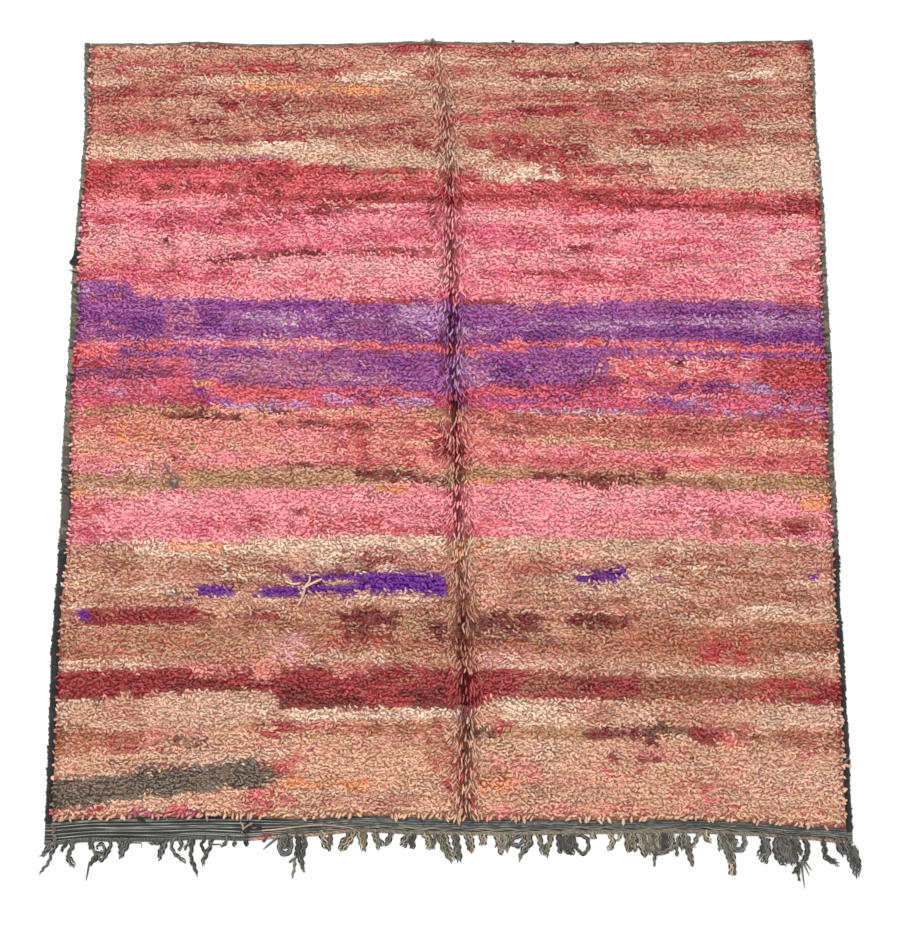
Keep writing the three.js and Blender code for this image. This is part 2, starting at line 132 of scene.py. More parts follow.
def innerEdge(side, y):
    cord = follow(sideRows, "y", "leftCord" if side < 0 else "rightCord", y)
    return outerEdge(side, y) - side * cord


# The rug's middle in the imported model's frame, which is centred on the fringe's reach as well
edgingLow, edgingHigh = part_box("top_edging")
rugShift = np.array([
    edgingLow[0] / mm - innerEdge(-1, farPile(-halfWidth)) - plan["gap"],
    edgingHigh[1] / mm - max(row["edge"] for row in farRows) + plan["edgingSlack"],
    0,
])


# From millimetres about the rug's middle to metres in the frame
def placed(points):
    return (np.asarray(points, float) + rugShift) * mm


def smooth(low, high, value):
    share = np.clip((value - low) / (high - low), 0, 1)
    return share * share * (3 - 2 * share)


# Soft noise from 0 to 1, with cells of the given size. number picks one of a family.
def drift(x, y, cellX, cellY, seed, number=0):
    rng = np.random.default_rng(seed + number)
    reach = 1300
    wide = int(2 * reach / cellX) + 3
    tall = int(2 * reach / cellY) + 3
    grid = rng.random((tall, wide))
    u = (np.asarray(x) + reach) / cellX
    v = (np.asarray(y) + reach) / cellY
    i = np.clip(u.astype(int), 0, wide - 2)
    j = np.clip(v.astype(int), 0, tall - 2)
    su = u - i
    sv = v - j
    su = su * su * (3 - 2 * su)
    sv = sv * sv * (3 - 2 * sv)
    low = grid[j, i] * (1 - su) + grid[j, i + 1] * su
    high = grid[j + 1, i] * (1 - su) + grid[j + 1, i + 1] * su
    return low * (1 - sv) + high * sv


# The same noise along a line
def driftAlong(x, cell, seed, number=0):
    return drift(x, x * 0, cell, 400, seed, number)


# A pair is the least of a value and what chance, from 0 to 1, adds to it
def ranged(pair, chance):
    return pair[0] + pair[1] * chance


# Places in the pile's field from their shares across it and along it
def fieldPlaces(shareX, shareY):
    guess = innerEdge(-1, 0) + (innerEdge(1, 0) - innerEdge(-1, 0)) * shareX
    y = nearPile(guess) + (farPile(guess) - nearPile(guess)) * shareY
    return innerEdge(-1, y) + (innerEdge(1, y) - innerEdge(-1, y)) * shareX, y


# The way along a course of places, in steps of length one
def headings(course):
    ahead = np.gradient(course, axis=0)
    return ahead / np.maximum(np.linalg.norm(ahead, axis=1, keepdims=True), 1e-9)


def runAlong(course):
    return np.concatenate([[0], np.cumsum(np.linalg.norm(np.diff(course, axis=0), axis=1))])


print("plan ready")

# Dyes, as they look in daylight

dyes = {
    "paleCream": (232, 208, 184),
    "cream": (219, 184, 160),
    "sand": (206, 164, 139),
    "peach": (220, 178, 148),
    "dusty": (202, 146, 126),
    "salmon": (225, 153, 140),
    "orange": (232, 162, 114),
    "coral": (222, 113, 119),
    "coralRed": (202, 82, 87),
    "palePink": (232, 178, 174),
    "pink": (236, 155, 162),
    "hotPink": (220, 108, 136),
    "rose": (208, 106, 110),
    "roseRed": (184, 74, 76),
    "brick": (184, 112, 96),
    "magenta": (186, 74, 118),
    "crimson": (159, 60, 63),
    "maroon": (126, 54, 51),
    "plum": (146, 72, 110),
    "purple": (160, 90, 154),
    "violet": (132, 60, 138),
    "lavender": (194, 150, 186),
    "mauve": (196, 124, 150),
    "paleMauve": (204, 178, 186),
    "vivid": (112, 38, 150),
    "tan": (190, 148, 114),
    "brown": (166, 112, 86),
    "terracotta": (188, 124, 97),
    "umber": (122, 86, 68),
    "slate": (126, 112, 98),
    # Near black: real black yarns, and the painted shade under the band's cords
    "soot": (40, 38, 38),
    "goatGrey": (112, 104, 92),
    "goatBlack": (40, 38, 38),
    # Painted highlight and shade for the band's plies, and real light and dark yarns elsewhere
    "bandLight": (146, 147, 143),
    "bandDark": (38, 39, 38),
    "bandGrey": (94, 95, 90),
    "ash": (116, 112, 101),
    "fringeDark": (92, 90, 83),
    "fringeOlive": (138, 129, 108),
    "fringeBeige": (160, 144, 117),
}

# The bands from the far end to the near one. Each stops at its near line, given as its place
# across the rug and along it. Its dyes follow the streaks of the yarn from light to dark.
bands = [
    {
        "near": (
            (-925, 658), (-600, 665), (-400, 662), (-100, 640), (60, 625), (300, 605), (550, 580),
            (925, 570),
        ),
        "dyes": ("cream", "sand", "dusty", "dusty", "brick", "roseRed"),
    },
    {
        "near": (
            (-925, 545), (-700, 555), (-560, 572), (-480, 545), (0, 542), (400, 532), (650, 522),
            (925, 508),
        ),
        "dyes": ("salmon", "coral", "rose", "coralRed", "roseRed", "crimson"),
    },
    {
        "near": (
            (-925, 345), (-790, 345), (-750, 304), (-400, 296), (0, 290), (200, 284), (500, 293),
            (800, 290), (925, 276),
        ),
        "dyes": ("palePink", "pink", "pink", "hotPink", "rose"),
    },
    {
        "near": (
            (-925, 192), (-500, 194), (-350, 198), (-50, 186), (60, 184), (250, 192), (690, 190),
            (715, 178), (925, 177),
        ),
        "dyes": ("lavender", "purple", "purple", "purple", "violet"),
    },
    {
        "near": (
            (-925, 150), (-760, 165), (-640, 172), (-30, 170), (60, 158), (220, 168), (700, 166),
            (925, 150),
        ),
        "dyes": ("palePink", "pink", "coral", "rose"),
    },
    {
        "near": ((-925, 88), (-500, 88), (-300, 76), (0, 66), (120, 84), (400, 92), (925, 80)),
        "dyes": ("lavender", "mauve", "purple", "purple", "plum"),
    },
    {
        "near": ((-925, 30), (-600, 34), (-350, 24), (0, 26), (300, 10), (700, 1), (925, -10)),
        "dyes": ("mauve", "hotPink", "rose", "magenta", "plum"),
    },
    {
        "near": (
            (-925, -126), (-560, -124), (-200, -118), (0, -122), (200, -126), (500, -132),
            (925, -146),
        ),
        "dyes": ("peach", "salmon", "salmon", "rose", "brick"),
    },
    {
        "near": (
            (-925, -172), (-780, -178), (-300, -166), (-100, -162), (60, -164), (140, -148),
            (400, -165), (600, -176), (925, -188),
        ),
        "dyes": ("cream", "sand", "tan", "tan", "brown"),
    },
    {
        "near": (
            (-925, -300), (-600, -300), (-400, -294), (-150, -286), (60, -290), (450, -292),
            (650, -302), (925, -308),
        ),
        "dyes": ("palePink", "pink", "pink", "pink", "rose"),
    },
    {
        "near": ((-925, -458), (-560, -460), (-200, -468), (300, -470), (925, -496)),
        "dyes": ("paleCream", "cream", "sand", "dusty", "brown"),
    },
    {
        "near": (
            (-925, -604), (-600, -600), (-200, -590), (60, -600), (300, -616), (600, -628),
            (925, -634),
        ),
        "dyes": ("sand", "tan", "dusty", "terracotta", "brown"),
    },
    {
        "near": (
            (-925, -670), (-600, -655), (-450, -644), (-400, -658), (-380, -692), (75, -690),
            (90, -664), (400, -674), (925, -682),
        ),
        "dyes": ("brick", "roseRed", "crimson", "crimson", "maroon"),
    },
    {
        "near": ((-925, -735), (-600, -742), (-300, -716), (0, -722), (300, -734), (925, -744)),
        "dyes": ("paleCream", "cream", "sand", "peach", "dusty"),
    },
    {
        "near": ((-925, -1100), (925, -1100)),
        "dyes": ("cream", "peach", "peach", "sand", "salmon"),
    },
]

# Streaks and repairs over the bands: where each lies, its half length and half width, its dye, how
# fully the knots there take it, in percent, and, where it isn't level, how much it climbs to the
# right over its half length
strokes = table(("x", "y", "long", "tall", "dye", "percent", "climb"), [
    (-600, 968, 50, 6, "crimson", 60), (-370, 942, 50, 16, "tan", 60),
    (-95, 945, 45, 14, "roseRed", 50), (-560, 945, 330, 10, "sand", 40),
    (-200, 915, 140, 12, "sand", 60), (-640, 905, 180, 10, "rose", 40),
    (-440, 903, 70, 11, "roseRed", 70), (-860, 868, 60, 14, "cream", 80),
    (-560, 872, 110, 12, "cream", 80, -4), (-180, 886, 100, 12, "paleCream", 80, 6),
    (-330, 850, 190, 11, "orange", 60, -6), (-215, 843, 45, 10, "orange", 80),
    (-770, 838, 140, 14, "brick", 60), (-685, 836, 60, 10, "crimson", 50),
    (-800, 840, 30, 8, "crimson", 50), (-450, 818, 90, 26, "roseRed", 40, -4),
    (-440, 805, 40, 14, "crimson", 40), (-548, 806, 26, 12, "crimson", 80),
    (-780, 790, 130, 12, "dusty", 50), (-570, 766, 90, 9, "crimson", 45, 8),
    (-370, 776, 36, 7, "crimson", 60), (-250, 800, 180, 26, "brick", 50),
    (-230, 762, 120, 9, "sand", 70), (-450, 790, 60, 8, "sand", 60),
    (-200, 738, 110, 9, "crimson", 50, 10), (-150, 752, 60, 6, "roseRed", 50, 4),
    (-830, 750, 60, 14, "rose", 35), (-520, 712, 130, 11, "crimson", 70, 8),
    (-370, 722, 60, 6, "crimson", 50, 6), (-820, 715, 100, 14, "sand", 60),
    (-180, 712, 130, 14, "brick", 60), (-60, 694, 40, 12, "crimson", 60, -6),
    (-600, 682, 320, 20, "cream", 95), (-480, 664, 90, 7, "mauve", 50, 4),
    (-380, 690, 90, 18, "paleCream", 70, 4), (-190, 660, 190, 22, "cream", 95, -6),
    (-870, 620, 60, 34, "roseRed", 60), (-690, 622, 130, 20, "coral", 70, 6),
    (-620, 648, 120, 6, "crimson", 50, 6), (-450, 612, 70, 22, "crimson", 50),
    (-300, 585, 120, 20, "coral", 60), (-180, 635, 110, 6, "umber", 30),
    (-130, 612, 130, 8, "dusty", 55), (-740, 580, 60, 4, "maroon", 60, 14),
    (-600, 596, 60, 4, "maroon", 50), (-560, 560, 90, 12, "pink", 80, 6),
    (-850, 540, 80, 14, "pink", 80), (-230, 558, 90, 8, "crimson", 70),
    (-60, 560, 70, 8, "crimson", 75), (-420, 545, 100, 12, "rose", 60),
    (-460, 510, 100, 12, "roseRed", 60, -6), (-330, 525, 90, 9, "crimson", 60, 6),
    (-200, 530, 50, 7, "crimson", 60), (30, 960, 40, 16, "rose", 50),
    (290, 952, 60, 12, "brick", 50), (905, 966, 22, 14, "crimson", 70),
    (60, 920, 60, 8, "cream", 60), (680, 900, 90, 7, "terracotta", 50),
    (220, 885, 60, 10, "crimson", 65), (320, 878, 60, 7, "crimson", 60, -3),
    (760, 884, 60, 8, "paleCream", 70), (560, 870, 120, 10, "cream", 50),
    (160, 865, 160, 7, "cream", 70), (340, 852, 90, 6, "cream", 60),
    (430, 832, 60, 7, "crimson", 50), (640, 815, 280, 18, "brick", 60),
    (240, 792, 90, 14, "crimson", 75), (100, 770, 90, 14, "rose", 50),
    (430, 778, 50, 10, "crimson", 50), (560, 775, 250, 14, "rose", 40),
    (270, 752, 80, 9, "tan", 70), (95, 745, 40, 10, "sand", 70), (580, 724, 110, 10, "roseRed", 65),
    (480, 735, 40, 12, "crimson", 40), (180, 700, 120, 24, "roseRed", 60, -4),
    (250, 680, 110, 22, "crimson", 60, -4), (50, 665, 55, 20, "cream", 90),
    (560, 668, 190, 22, "cream", 75), (770, 692, 30, 10, "rose", 60),
    (840, 665, 90, 30, "cream", 80), (180, 625, 100, 22, "paleCream", 85),
    (360, 632, 90, 16, "rose", 35), (470, 645, 50, 6, "crimson", 40),
    (720, 610, 200, 26, "cream", 90, -6), (60, 592, 60, 10, "salmon", 60),
    (200, 583, 60, 7, "coral", 90), (450, 600, 130, 14, "salmon", 50),
    (300, 566, 300, 7, "crimson", 50, 4), (390, 550, 60, 11, "crimson", 75),
    (640, 540, 260, 12, "crimson", 60, -10), (850, 542, 70, 16, "crimson", 60),
    (620, 552, 200, 8, "coral", 60, -10), (180, 540, 160, 12, "rose", 50),
    (800, 520, 120, 10, "roseRed", 50), (-880, 485, 60, 20, "roseRed", 40),
    (-840, 440, 60, 20, "palePink", 50), (-560, 440, 70, 16, "palePink", 45),
    (-740, 405, 180, 12, "dusty", 30, 6), (-870, 395, 60, 22, "salmon", 50),
    (-690, 452, 12, 5, "maroon", 80), (-840, 428, 10, 4, "maroon", 80),
    (-460, 408, 150, 5, "maroon", 70, 14), (-440, 412, 36, 10, "crimson", 70, 4),
    (-540, 400, 26, 7, "crimson", 60), (-600, 402, 60, 3, "umber", 50),
    (-200, 422, 60, 6, "crimson", 60, 4), (-150, 425, 26, 8, "roseRed", 80),
    (-60, 424, 70, 5, "crimson", 50, 3), (-330, 370, 150, 30, "palePink", 50),
    (-250, 370, 150, 30, "palePink", 30), (-90, 370, 80, 30, "palePink", 60),
    (-345, 340, 20, 16, "hotPink", 50), (-150, 293, 90, 5, "roseRed", 60),
    (-360, 500, 60, 10, "crimson", 40), (110, 450, 110, 26, "hotPink", 30),
    (150, 425, 190, 4, "crimson", 55), (330, 427, 26, 5, "crimson", 80),
    (400, 465, 36, 8, "maroon", 40), (270, 367, 80, 5, "crimson", 50, 6),
    (150, 357, 40, 5, "coral", 50), (240, 395, 180, 14, "palePink", 40),
    (560, 386, 180, 6, "dusty", 40, 2), (460, 350, 40, 5, "brown", 40, 4),
    (615, 345, 20, 5, "brown", 60), (830, 430, 70, 50, "palePink", 50),
    (880, 380, 40, 10, "roseRed", 50), (100, 295, 60, 7, "crimson", 60),
    (180, 284, 40, 4, "crimson", 60), (480, 295, 80, 4, "roseRed", 50),
    (860, 290, 60, 14, "rose", 50), (-815, 302, 14, 4, "coral", 90), (-865, 302, 8, 4, "coral", 80),
    (-760, 235, 100, 26, "violet", 70), (-600, 280, 110, 14, "violet", 40),
    (-560, 235, 60, 26, "violet", 50), (-870, 225, 50, 30, "mauve", 40),
    (-800, 225, 18, 12, "mauve", 45), (-650, 260, 40, 20, "mauve", 50),
    (-650, 215, 40, 14, "mauve", 50), (-450, 250, 90, 14, "lavender", 50),
    (-390, 242, 20, 6, "paleMauve", 80), (-230, 245, 110, 16, "lavender", 50),
    (-230, 235, 90, 8, "plum", 40), (-330, 285, 80, 10, "violet", 50),
    (-60, 255, 60, 26, "lavender", 70), (-30, 200, 60, 10, "maroon", 35),
    (60, 215, 50, 14, "lavender", 50), (60, 205, 60, 6, "mauve", 50), (167, 200, 7, 5, "coral", 90),
    (240, 235, 60, 10, "lavender", 60), (300, 240, 30, 16, "violet", 40),
    (240, 200, 60, 12, "violet", 60), (420, 230, 110, 14, "lavender", 60),
    (520, 212, 90, 14, "violet", 60), (660, 240, 90, 10, "lavender", 50),
    (700, 265, 60, 14, "violet", 40), (790, 205, 130, 14, "violet", 70),
    (820, 245, 90, 22, "lavender", 50), (860, 265, 40, 14, "plum", 50),
    (-860, 170, 60, 18, "coral", 60), (-50, 172, 90, 8, "coral", 90),
    (60, 172, 120, 7, "coral", 80), (330, 195, 60, 6, "coral", 60),
    (820, 163, 100, 9, "coral", 80, -3), (-780, 90, 150, 62, "rose", 75),
    (-780, 90, 150, 60, "hotPink", 45), (-800, 112, 130, 10, "plum", 60, 3),
    (-800, 68, 110, 7, "lavender", 50), (-880, 140, 40, 14, "roseRed", 60),
    (-780, 168, 14, 8, "purple", 90), (-700, 165, 60, 8, "purple", 60),
    (-690, 139, 60, 5, "coral", 70), (-560, 165, 110, 10, "purple", 90),
    (-450, 100, 150, 40, "mauve", 50), (-330, 140, 60, 10, "plum", 40),
    (-130, 130, 120, 16, "violet", 40), (-250, 110, 200, 6, "tan", 25),
    (-520, 62, 36, 14, "crimson", 85, -6), (-590, 84, 26, 7, "orange", 80),
    (-440, 55, 130, 18, "coral", 80, -6), (-600, 62, 20, 14, "violet", 70, -6),
    (-560, 45, 40, 8, "purple", 80, -6), (-480, 30, 60, 8, "lavender", 80, -4),
    (-400, 35, 60, 8, "lavender", 50), (-640, 45, 60, 12, "crimson", 40),
    (-220, 60, 110, 20, "hotPink", 60), (-260, 45, 40, 10, "lavender", 60),
    (-200, 45, 30, 12, "plum", 60), (-120, 60, 60, 14, "coral", 50),
    (-100, 35, 60, 12, "lavender", 60), (-60, 100, 70, 30, "purple", 50),
    (60, 130, 60, 40, "lavender", 40), (230, 140, 160, 26, "purple", 60),
    (150, 120, 60, 20, "violet", 50), (660, 124, 257, 30, "coral", 97),
    (660, 120, 257, 28, "palePink", 35), (850, 118, 90, 32, "roseRed", 60),
    (555, 132, 14, 10, "maroon", 60), (670, 125, 20, 8, "crimson", 40),
    (620, 85, 200, 11, "rose", 70, -4), (660, 82, 110, 5, "violet", 70, -2),
    (740, 72, 60, 10, "lavender", 60, -4), (850, 88, 70, 14, "coralRed", 70),
    (445, 85, 5, 16, "coral", 90), (560, 161, 370, 8, "purple", 95, -6),
    (300, 70, 110, 12, "magenta", 50), (200, 45, 120, 8, "purple", 60),
    (190, 28, 90, 9, "hotPink", 90), (320, 35, 110, 7, "hotPink", 60),
    (150, 60, 90, 8, "coral", 50), (300, 15, 140, 7, "paleMauve", 55),
    (540, 40, 60, 22, "purple", 70), (640, 30, 70, 10, "lavender", 60),
    (480, 60, 60, 8, "pink", 60), (640, 55, 100, 7, "pink", 80), (700, 50, 20, 14, "coral", 60),
    (760, 30, 120, 14, "hotPink", 70), (860, 50, 50, 16, "plum", 60),
    (850, 22, 80, 8, "lavender", 60), (560, 8, 200, 5, "lavender", 60),
    (800, 2, 110, 6, "purple", 60, -3), (-780, 22, 130, 8, "tan", 70, 4),
    (-620, 18, 60, 8, "tan", 70), (-650, 8, 60, 5, "maroon", 80, -5),
    (-540, 2, 40, 4, "maroon", 60), (-420, 12, 40, 4, "maroon", 70, -3),
    (-330, -12, 80, 5, "maroon", 60, -4), (-210, -21, 70, 5, "crimson", 85),
    (-70, -23, 80, 4, "crimson", 60, 1), (-20, 5, 50, 18, "tan", 70),
    (-740, -30, 60, 30, "orange", 35), (-640, -60, 50, 14, "tan", 30),
    (-330, -45, 90, 20, "pink", 50), (-240, -80, 50, 22, "roseRed", 50),
    (-450, -100, 200, 16, "pink", 50), (-650, -98, 14, 6, "crimson", 70),
    (-700, -95, 14, 5, "crimson", 50), (-820, -114, 100, 9, "pink", 70),
    (-320, -118, 60, 6, "maroon", 60), (-200, -112, 120, 10, "rose", 50),
    (170, -34, 60, 6, "maroon", 80), (370, -15, 60, 14, "crimson", 50),
    (400, -22, 300, 16, "brick", 60), (560, -20, 40, 18, "crimson", 40),
    (690, -20, 60, 14, "brick", 60), (850, -30, 80, 20, "roseRed", 60),
    (300, -55, 110, 14, "peach", 70), (480, -65, 90, 12, "tan", 50), (220, -85, 90, 18, "pink", 60),
    (480, -95, 130, 10, "pink", 70), (300, -110, 200, 10, "rose", 50),
    (700, -112, 200, 14, "rose", 50), (880, -136, 50, 10, "rose", 60),
    (-780, -150, 130, 20, "tan", 60), (-560, -150, 90, 20, "tan", 60),
    (-340, -134, 120, 10, "sand", 50), (-130, -142, 90, 12, "maroon", 65, -6),
    (-60, -148, 60, 8, "maroon", 40), (-130, -172, 40, 9, "orange", 90),
    (-75, -172, 20, 10, "pink", 90), (78, -155, 34, 8, "orange", 90, 4),
    (240, -143, 40, 10, "maroon", 80), (370, -150, 80, 12, "maroon", 50),
    (500, -135, 20, 10, "maroon", 60), (620, -160, 120, 10, "brown", 50),
    (790, -165, 120, 16, "tan", 80), (-880, -190, 30, 14, "orange", 50),
    (-780, -188, 60, 12, "peach", 60), (-860, -225, 50, 14, "rose", 60),
    (-870, -285, 40, 12, "hotPink", 60), (-590, -265, 40, 20, "hotPink", 50),
    (-500, -255, 60, 20, "rose", 40), (-355, -225, 16, 14, "crimson", 50),
    (-310, -265, 26, 16, "crimson", 60), (-240, -250, 90, 20, "rose", 50),
    (-180, -190, 60, 10, "palePink", 50), (-60, -272, 70, 10, "crimson", 50),
    (-150, -280, 90, 7, "rose", 50), (50, -265, 60, 20, "rose", 50),
    (400, -265, 120, 12, "salmon", 40), (600, -235, 120, 8, "rose", 50),
    (750, -270, 130, 20, "brick", 60), (820, -275, 30, 10, "crimson", 70),
    (880, -205, 40, 18, "orange", 70), (370, -172, 14, 6, "crimson", 80),
    (-640, -320, 100, 20, "paleCream", 50), (-200, -302, 200, 14, "paleCream", 70, 4),
    (-850, -330, 60, 20, "dusty", 50), (-780, -350, 60, 20, "brown", 40),
    (-600, -314, 60, 10, "orange", 50), (-500, -365, 130, 14, "terracotta", 50),
    (-300, -365, 120, 10, "brown", 50), (-160, -347, 110, 11, "maroon", 60, 22),
    (-60, -350, 60, 22, "dusty", 50), (-450, -405, 60, 16, "brown", 40),
    (-870, -400, 50, 50, "peach", 50), (-605, -427, 10, 5, "vivid", 100),
    (-555, -415, 36, 8, "vivid", 100), (-530, -422, 24, 7, "vivid", 100),
    (-410, -420, 52, 9, "vivid", 100), (-290, -386, 80, 9, "vivid", 100),
    (-180, -393, 60, 18, "vivid", 100, 4), (-80, -395, 70, 24, "vivid", 100),
    (-280, -415, 60, 9, "vivid", 100), (-30, -415, 26, 10, "vivid", 100),
    (-240, -401, 40, 5, "sand", 80), (-645, -417, 10, 5, "slate", 90),
    (60, -320, 60, 14, "orange", 40), (350, -312, 250, 14, "cream", 70),
    (100, -400, 80, 50, "dusty", 50), (210, -368, 60, 12, "brick", 60),
    (200, -430, 50, 12, "brown", 40), (320, -365, 14, 8, "mauve", 60),
    (320, -390, 20, 8, "vivid", 85, 4), (372, -384, 32, 13, "vivid", 100, 8),
    (395, -375, 22, 8, "vivid", 100), (495, -392, 8, 5, "mauve", 80),
    (862, -387, 9, 8, "vivid", 90), (600, -345, 110, 14, "brick", 50),
    (840, -350, 90, 20, "dusty", 70), (620, -380, 90, 12, "terracotta", 50),
    (760, -420, 120, 20, "dusty", 40), (390, -455, 50, 10, "maroon", 40),
    (-740, -475, 150, 16, "crimson", 95), (-500, -472, 70, 7, "maroon", 90, -3),
    (-430, -474, 40, 5, "crimson", 60), (-892, -478, 24, 9, "sand", 70),
    (-855, -476, 12, 9, "vivid", 95), (-700, -540, 160, 20, "terracotta", 50),
    (-420, -510, 160, 24, "brown", 50), (-380, -535, 50, 16, "palePink", 50),
    (-210, -475, 50, 12, "maroon", 60), (-150, -487, 34, 22, "maroon", 65),
    (-215, -510, 60, 30, "roseRed", 45), (-90, -520, 60, 30, "terracotta", 50),
    (-800, -590, 180, 12, "cream", 80), (-560, -580, 120, 14, "dusty", 50),
    (-350, -575, 80, 18, "palePink", 40), (-230, -575, 90, 16, "cream", 60),
    (-60, -575, 80, 16, "sand", 60), (100, -480, 70, 20, "maroon", 50),
    (120, -505, 60, 28, "roseRed", 40), (370, -480, 80, 10, "maroon", 60),
    (355, -495, 70, 14, "maroon", 60), (600, -480, 40, 6, "crimson", 50),
    (700, -484, 160, 14, "cream", 70), (560, -530, 140, 30, "terracotta", 60),
    (800, -520, 120, 14, "terracotta", 60), (640, -560, 60, 30, "roseRed", 50),
    (820, -560, 90, 8, "brown", 70), (840, -590, 90, 20, "cream", 70),
    (130, -580, 60, 16, "palePink", 60), (220, -590, 90, 16, "cream", 60),
    (380, -600, 60, 12, "cream", 50), (560, -610, 110, 12, "cream", 70),
    (670, -622, 60, 8, "paleCream", 80), (-820, -630, 90, 20, "crimson", 70),
    (-700, -620, 60, 12, "crimson", 50), (-560, -630, 70, 20, "maroon", 40),
    (-430, -625, 60, 16, "brick", 30), (-300, -665, 90, 24, "maroon", 80),
    (-200, -620, 60, 20, "crimson", 60), (-120, -670, 60, 20, "roseRed", 50),
    (-40, -665, 40, 20, "maroon", 70), (-90, -620, 60, 20, "brick", 30),
    (110, -640, 50, 26, "crimson", 60), (240, -632, 60, 20, "brown", 70),
    (330, -640, 60, 24, "maroon", 50), (440, -650, 50, 24, "crimson", 70),
    (640, -648, 200, 26, "brown", 80), (780, -640, 60, 10, "roseRed", 70),
    (890, -672, 50, 12, "crimson", 60), (700, -665, 80, 8, "rose", 50),
    (-880, -690, 40, 16, "cream", 70), (-800, -700, 80, 20, "peach", 60),
    (-720, -695, 60, 16, "dusty", 50), (-560, -682, 110, 24, "cream", 80),
    (-600, -715, 100, 12, "cream", 70), (-400, -735, 60, 16, "roseRed", 50),
    (-150, -705, 200, 10, "paleCream", 90), (-170, -737, 120, 14, "terracotta", 60),
    (-715, -728, 10, 4, "slate", 90), (-815, -673, 8, 4, "slate", 80),
    (230, -700, 100, 26, "paleCream", 90), (560, -700, 70, 20, "dusty", 40),
    (800, -710, 110, 24, "cream", 80), (120, -737, 30, 16, "roseRed", 60),
    (230, -750, 100, 12, "tan", 80), (400, -750, 80, 16, "maroon", 75, -4),
    (520, -745, 60, 10, "umber", 60), (602, -754, 36, 17, "crimson", 100),
    (660, -758, 40, 14, "coral", 60), (720, -760, 60, 10, "brown", 60),
    (850, -765, 70, 20, "terracotta", 80), (-880, -755, 40, 26, "brown", 70),
    (-790, -762, 80, 20, "terracotta", 70), (-720, -770, 60, 22, "brick", 60),
    (-600, -770, 50, 12, "umber", 50), (-480, -800, 110, 14, "cream", 70),
    (-740, -820, 50, 6, "umber", 50), (-380, -815, 60, 12, "rose", 60),
    (-370, -835, 50, 10, "roseRed", 50), (-430, -885, 40, 20, "coral", 35),
    (-410, -905, 60, 14, "rose", 50), (-310, -785, 10, 5, "magenta", 90),
    (-280, -860, 120, 14, "orange", 50), (-180, -900, 120, 14, "dusty", 50),
    (-40, -815, 16, 14, "rose", 80), (-20, -780, 40, 60, "terracotta", 50),
    (-780, -925, 120, 9, "rose", 30), (-690, -935, 60, 6, "magenta", 40),
    (-560, -938, 40, 5, "plum", 50), (150, -840, 60, 40, "salmon", 50),
    (110, -870, 40, 12, "orange", 80), (280, -790, 90, 20, "cream", 60),
    (400, -850, 60, 20, "rose", 30), (420, -805, 60, 7, "crimson", 30),
    (560, -870, 60, 24, "rose", 30), (620, -830, 60, 12, "rose", 25),
    (600, -912, 60, 16, "coral", 30), (500, -800, 60, 5, "crimson", 40),
    (820, -800, 14, 7, "rose", 70), (800, -850, 100, 40, "cream", 50),
    (280, -890, 140, 20, "sand", 60), (30, -850, 40, 60, "roseRed", 35),
    (-200, -820, 150, 30, "peach", 50), (-189, -484, 55, 16, "maroon", 80),
    (-200, -515, 60, 15, "brick", 50), (133, -488, 80, 16, "maroon", 75),
    (0, -510, 225, 22, "maroon", 50), (120, -522, 60, 16, "umber", 40),
    (350, -705, 30, 20, "dusty", 60), (-770, -122, 60, 20, "palePink", 60),
    (-840, -120, 40, 20, "pink", 60), (-350, 326, 330, 20, "pink", 60),
    (262, 645, 30, 22, "roseRed", 55), (-425, -600, 30, 20, "salmon", 60),
    (-144, -25, 36, 18, "salmon", 50), (0, -72, 36, 22, "crimson", 50),
    (-872, 906, 34, 18, "sand", 70), (-622, -922, 22, 9, "coral", 90),
    (-700, -926, 14, 6, "magenta", 70), (-590, -924, 14, 6, "magenta", 80),
    (-38, 512, 16, 22, "crimson", 45), (3, -738, 40, 20, "brick", 60),
    (-326, -415, 34, 20, "vivid", 30), (-540, -602, 60, 16, "salmon", 55),
    (-664, -127, 30, 20, "salmon", 60), (-44, -128, 34, 20, "salmon", 50),
    (-445, 792, 34, 20, "crimson", 50), (-90, -509, 34, 20, "tan", 50),
    (-200, 321, 60, 22, "palePink", 40), (-229, -602, 40, 18, "salmon", 50),
    (281, -695, 34, 20, "dusty", 40), (704, 737, 30, 20, "rose", 50),
    (-512, -462, 34, 20, "peach", 60), (50, -603, 34, 18, "dusty", 50),
    (98, -273, 34, 20, "rose", 40), (200, 270, 34, 18, "mauve", 50),
    (460, -905, 34, 16, "peach", 60), (-540, 580, 34, 20, "crimson", 35),
    (-30, -368, 20, 12, "dusty", 50), (49, -740, 60, 14, "umber", 45),
    (-873, -784, 40, 14, "terracotta", 60), (650, -741, 60, 12, "brick", 60),
    (-275, -648, 50, 16, "roseRed", 50), (-440, 580, 110, 16, "crimson", 30, 4),
    (795, 526, 90, 14, "crimson", 35), (-712, -127, 50, 14, "palePink", 50),
    (104, 632, 60, 12, "dusty", 50), (704, 737, 60, 14, "roseRed", 45),
    (355, 737, 60, 12, "brick", 60), (276, 475, 110, 16, "rose", 40, 4),
    (807, -322, 50, 14, "brown", 40), (-328, -272, 50, 12, "rose", 40),
    (400, -128, 90, 12, "salmon", 50), (-20, 219, 50, 16, "lavender", 50),
    (613, -464, 60, 14, "brown", 50), (-352, -380, 50, 18, "plum", 35),
    (-200, -330, 50, 16, "crimson", 40), (312, -336, 50, 14, "salmon", 50),
    (-800, 195, 60, 10, "mauve", 50), (20, -450, 50, 20, "brown", 50),
    (-760, 900, 50, 12, "cream", 60), (745, 845, 60, 12, "sand", 60),
    (95, -840, 40, 14, "brown", 45),
])

# The grey-brown yarn at the near left: its far and near line at places along x
greyWedge = table(("x", "far", "near"), [
    (-930, -850, -924), (-800, -846, -904), (-700, -826, -892), (-580, -822, -882),
    (-440, -812, -872), (-386, -842, -850),
])

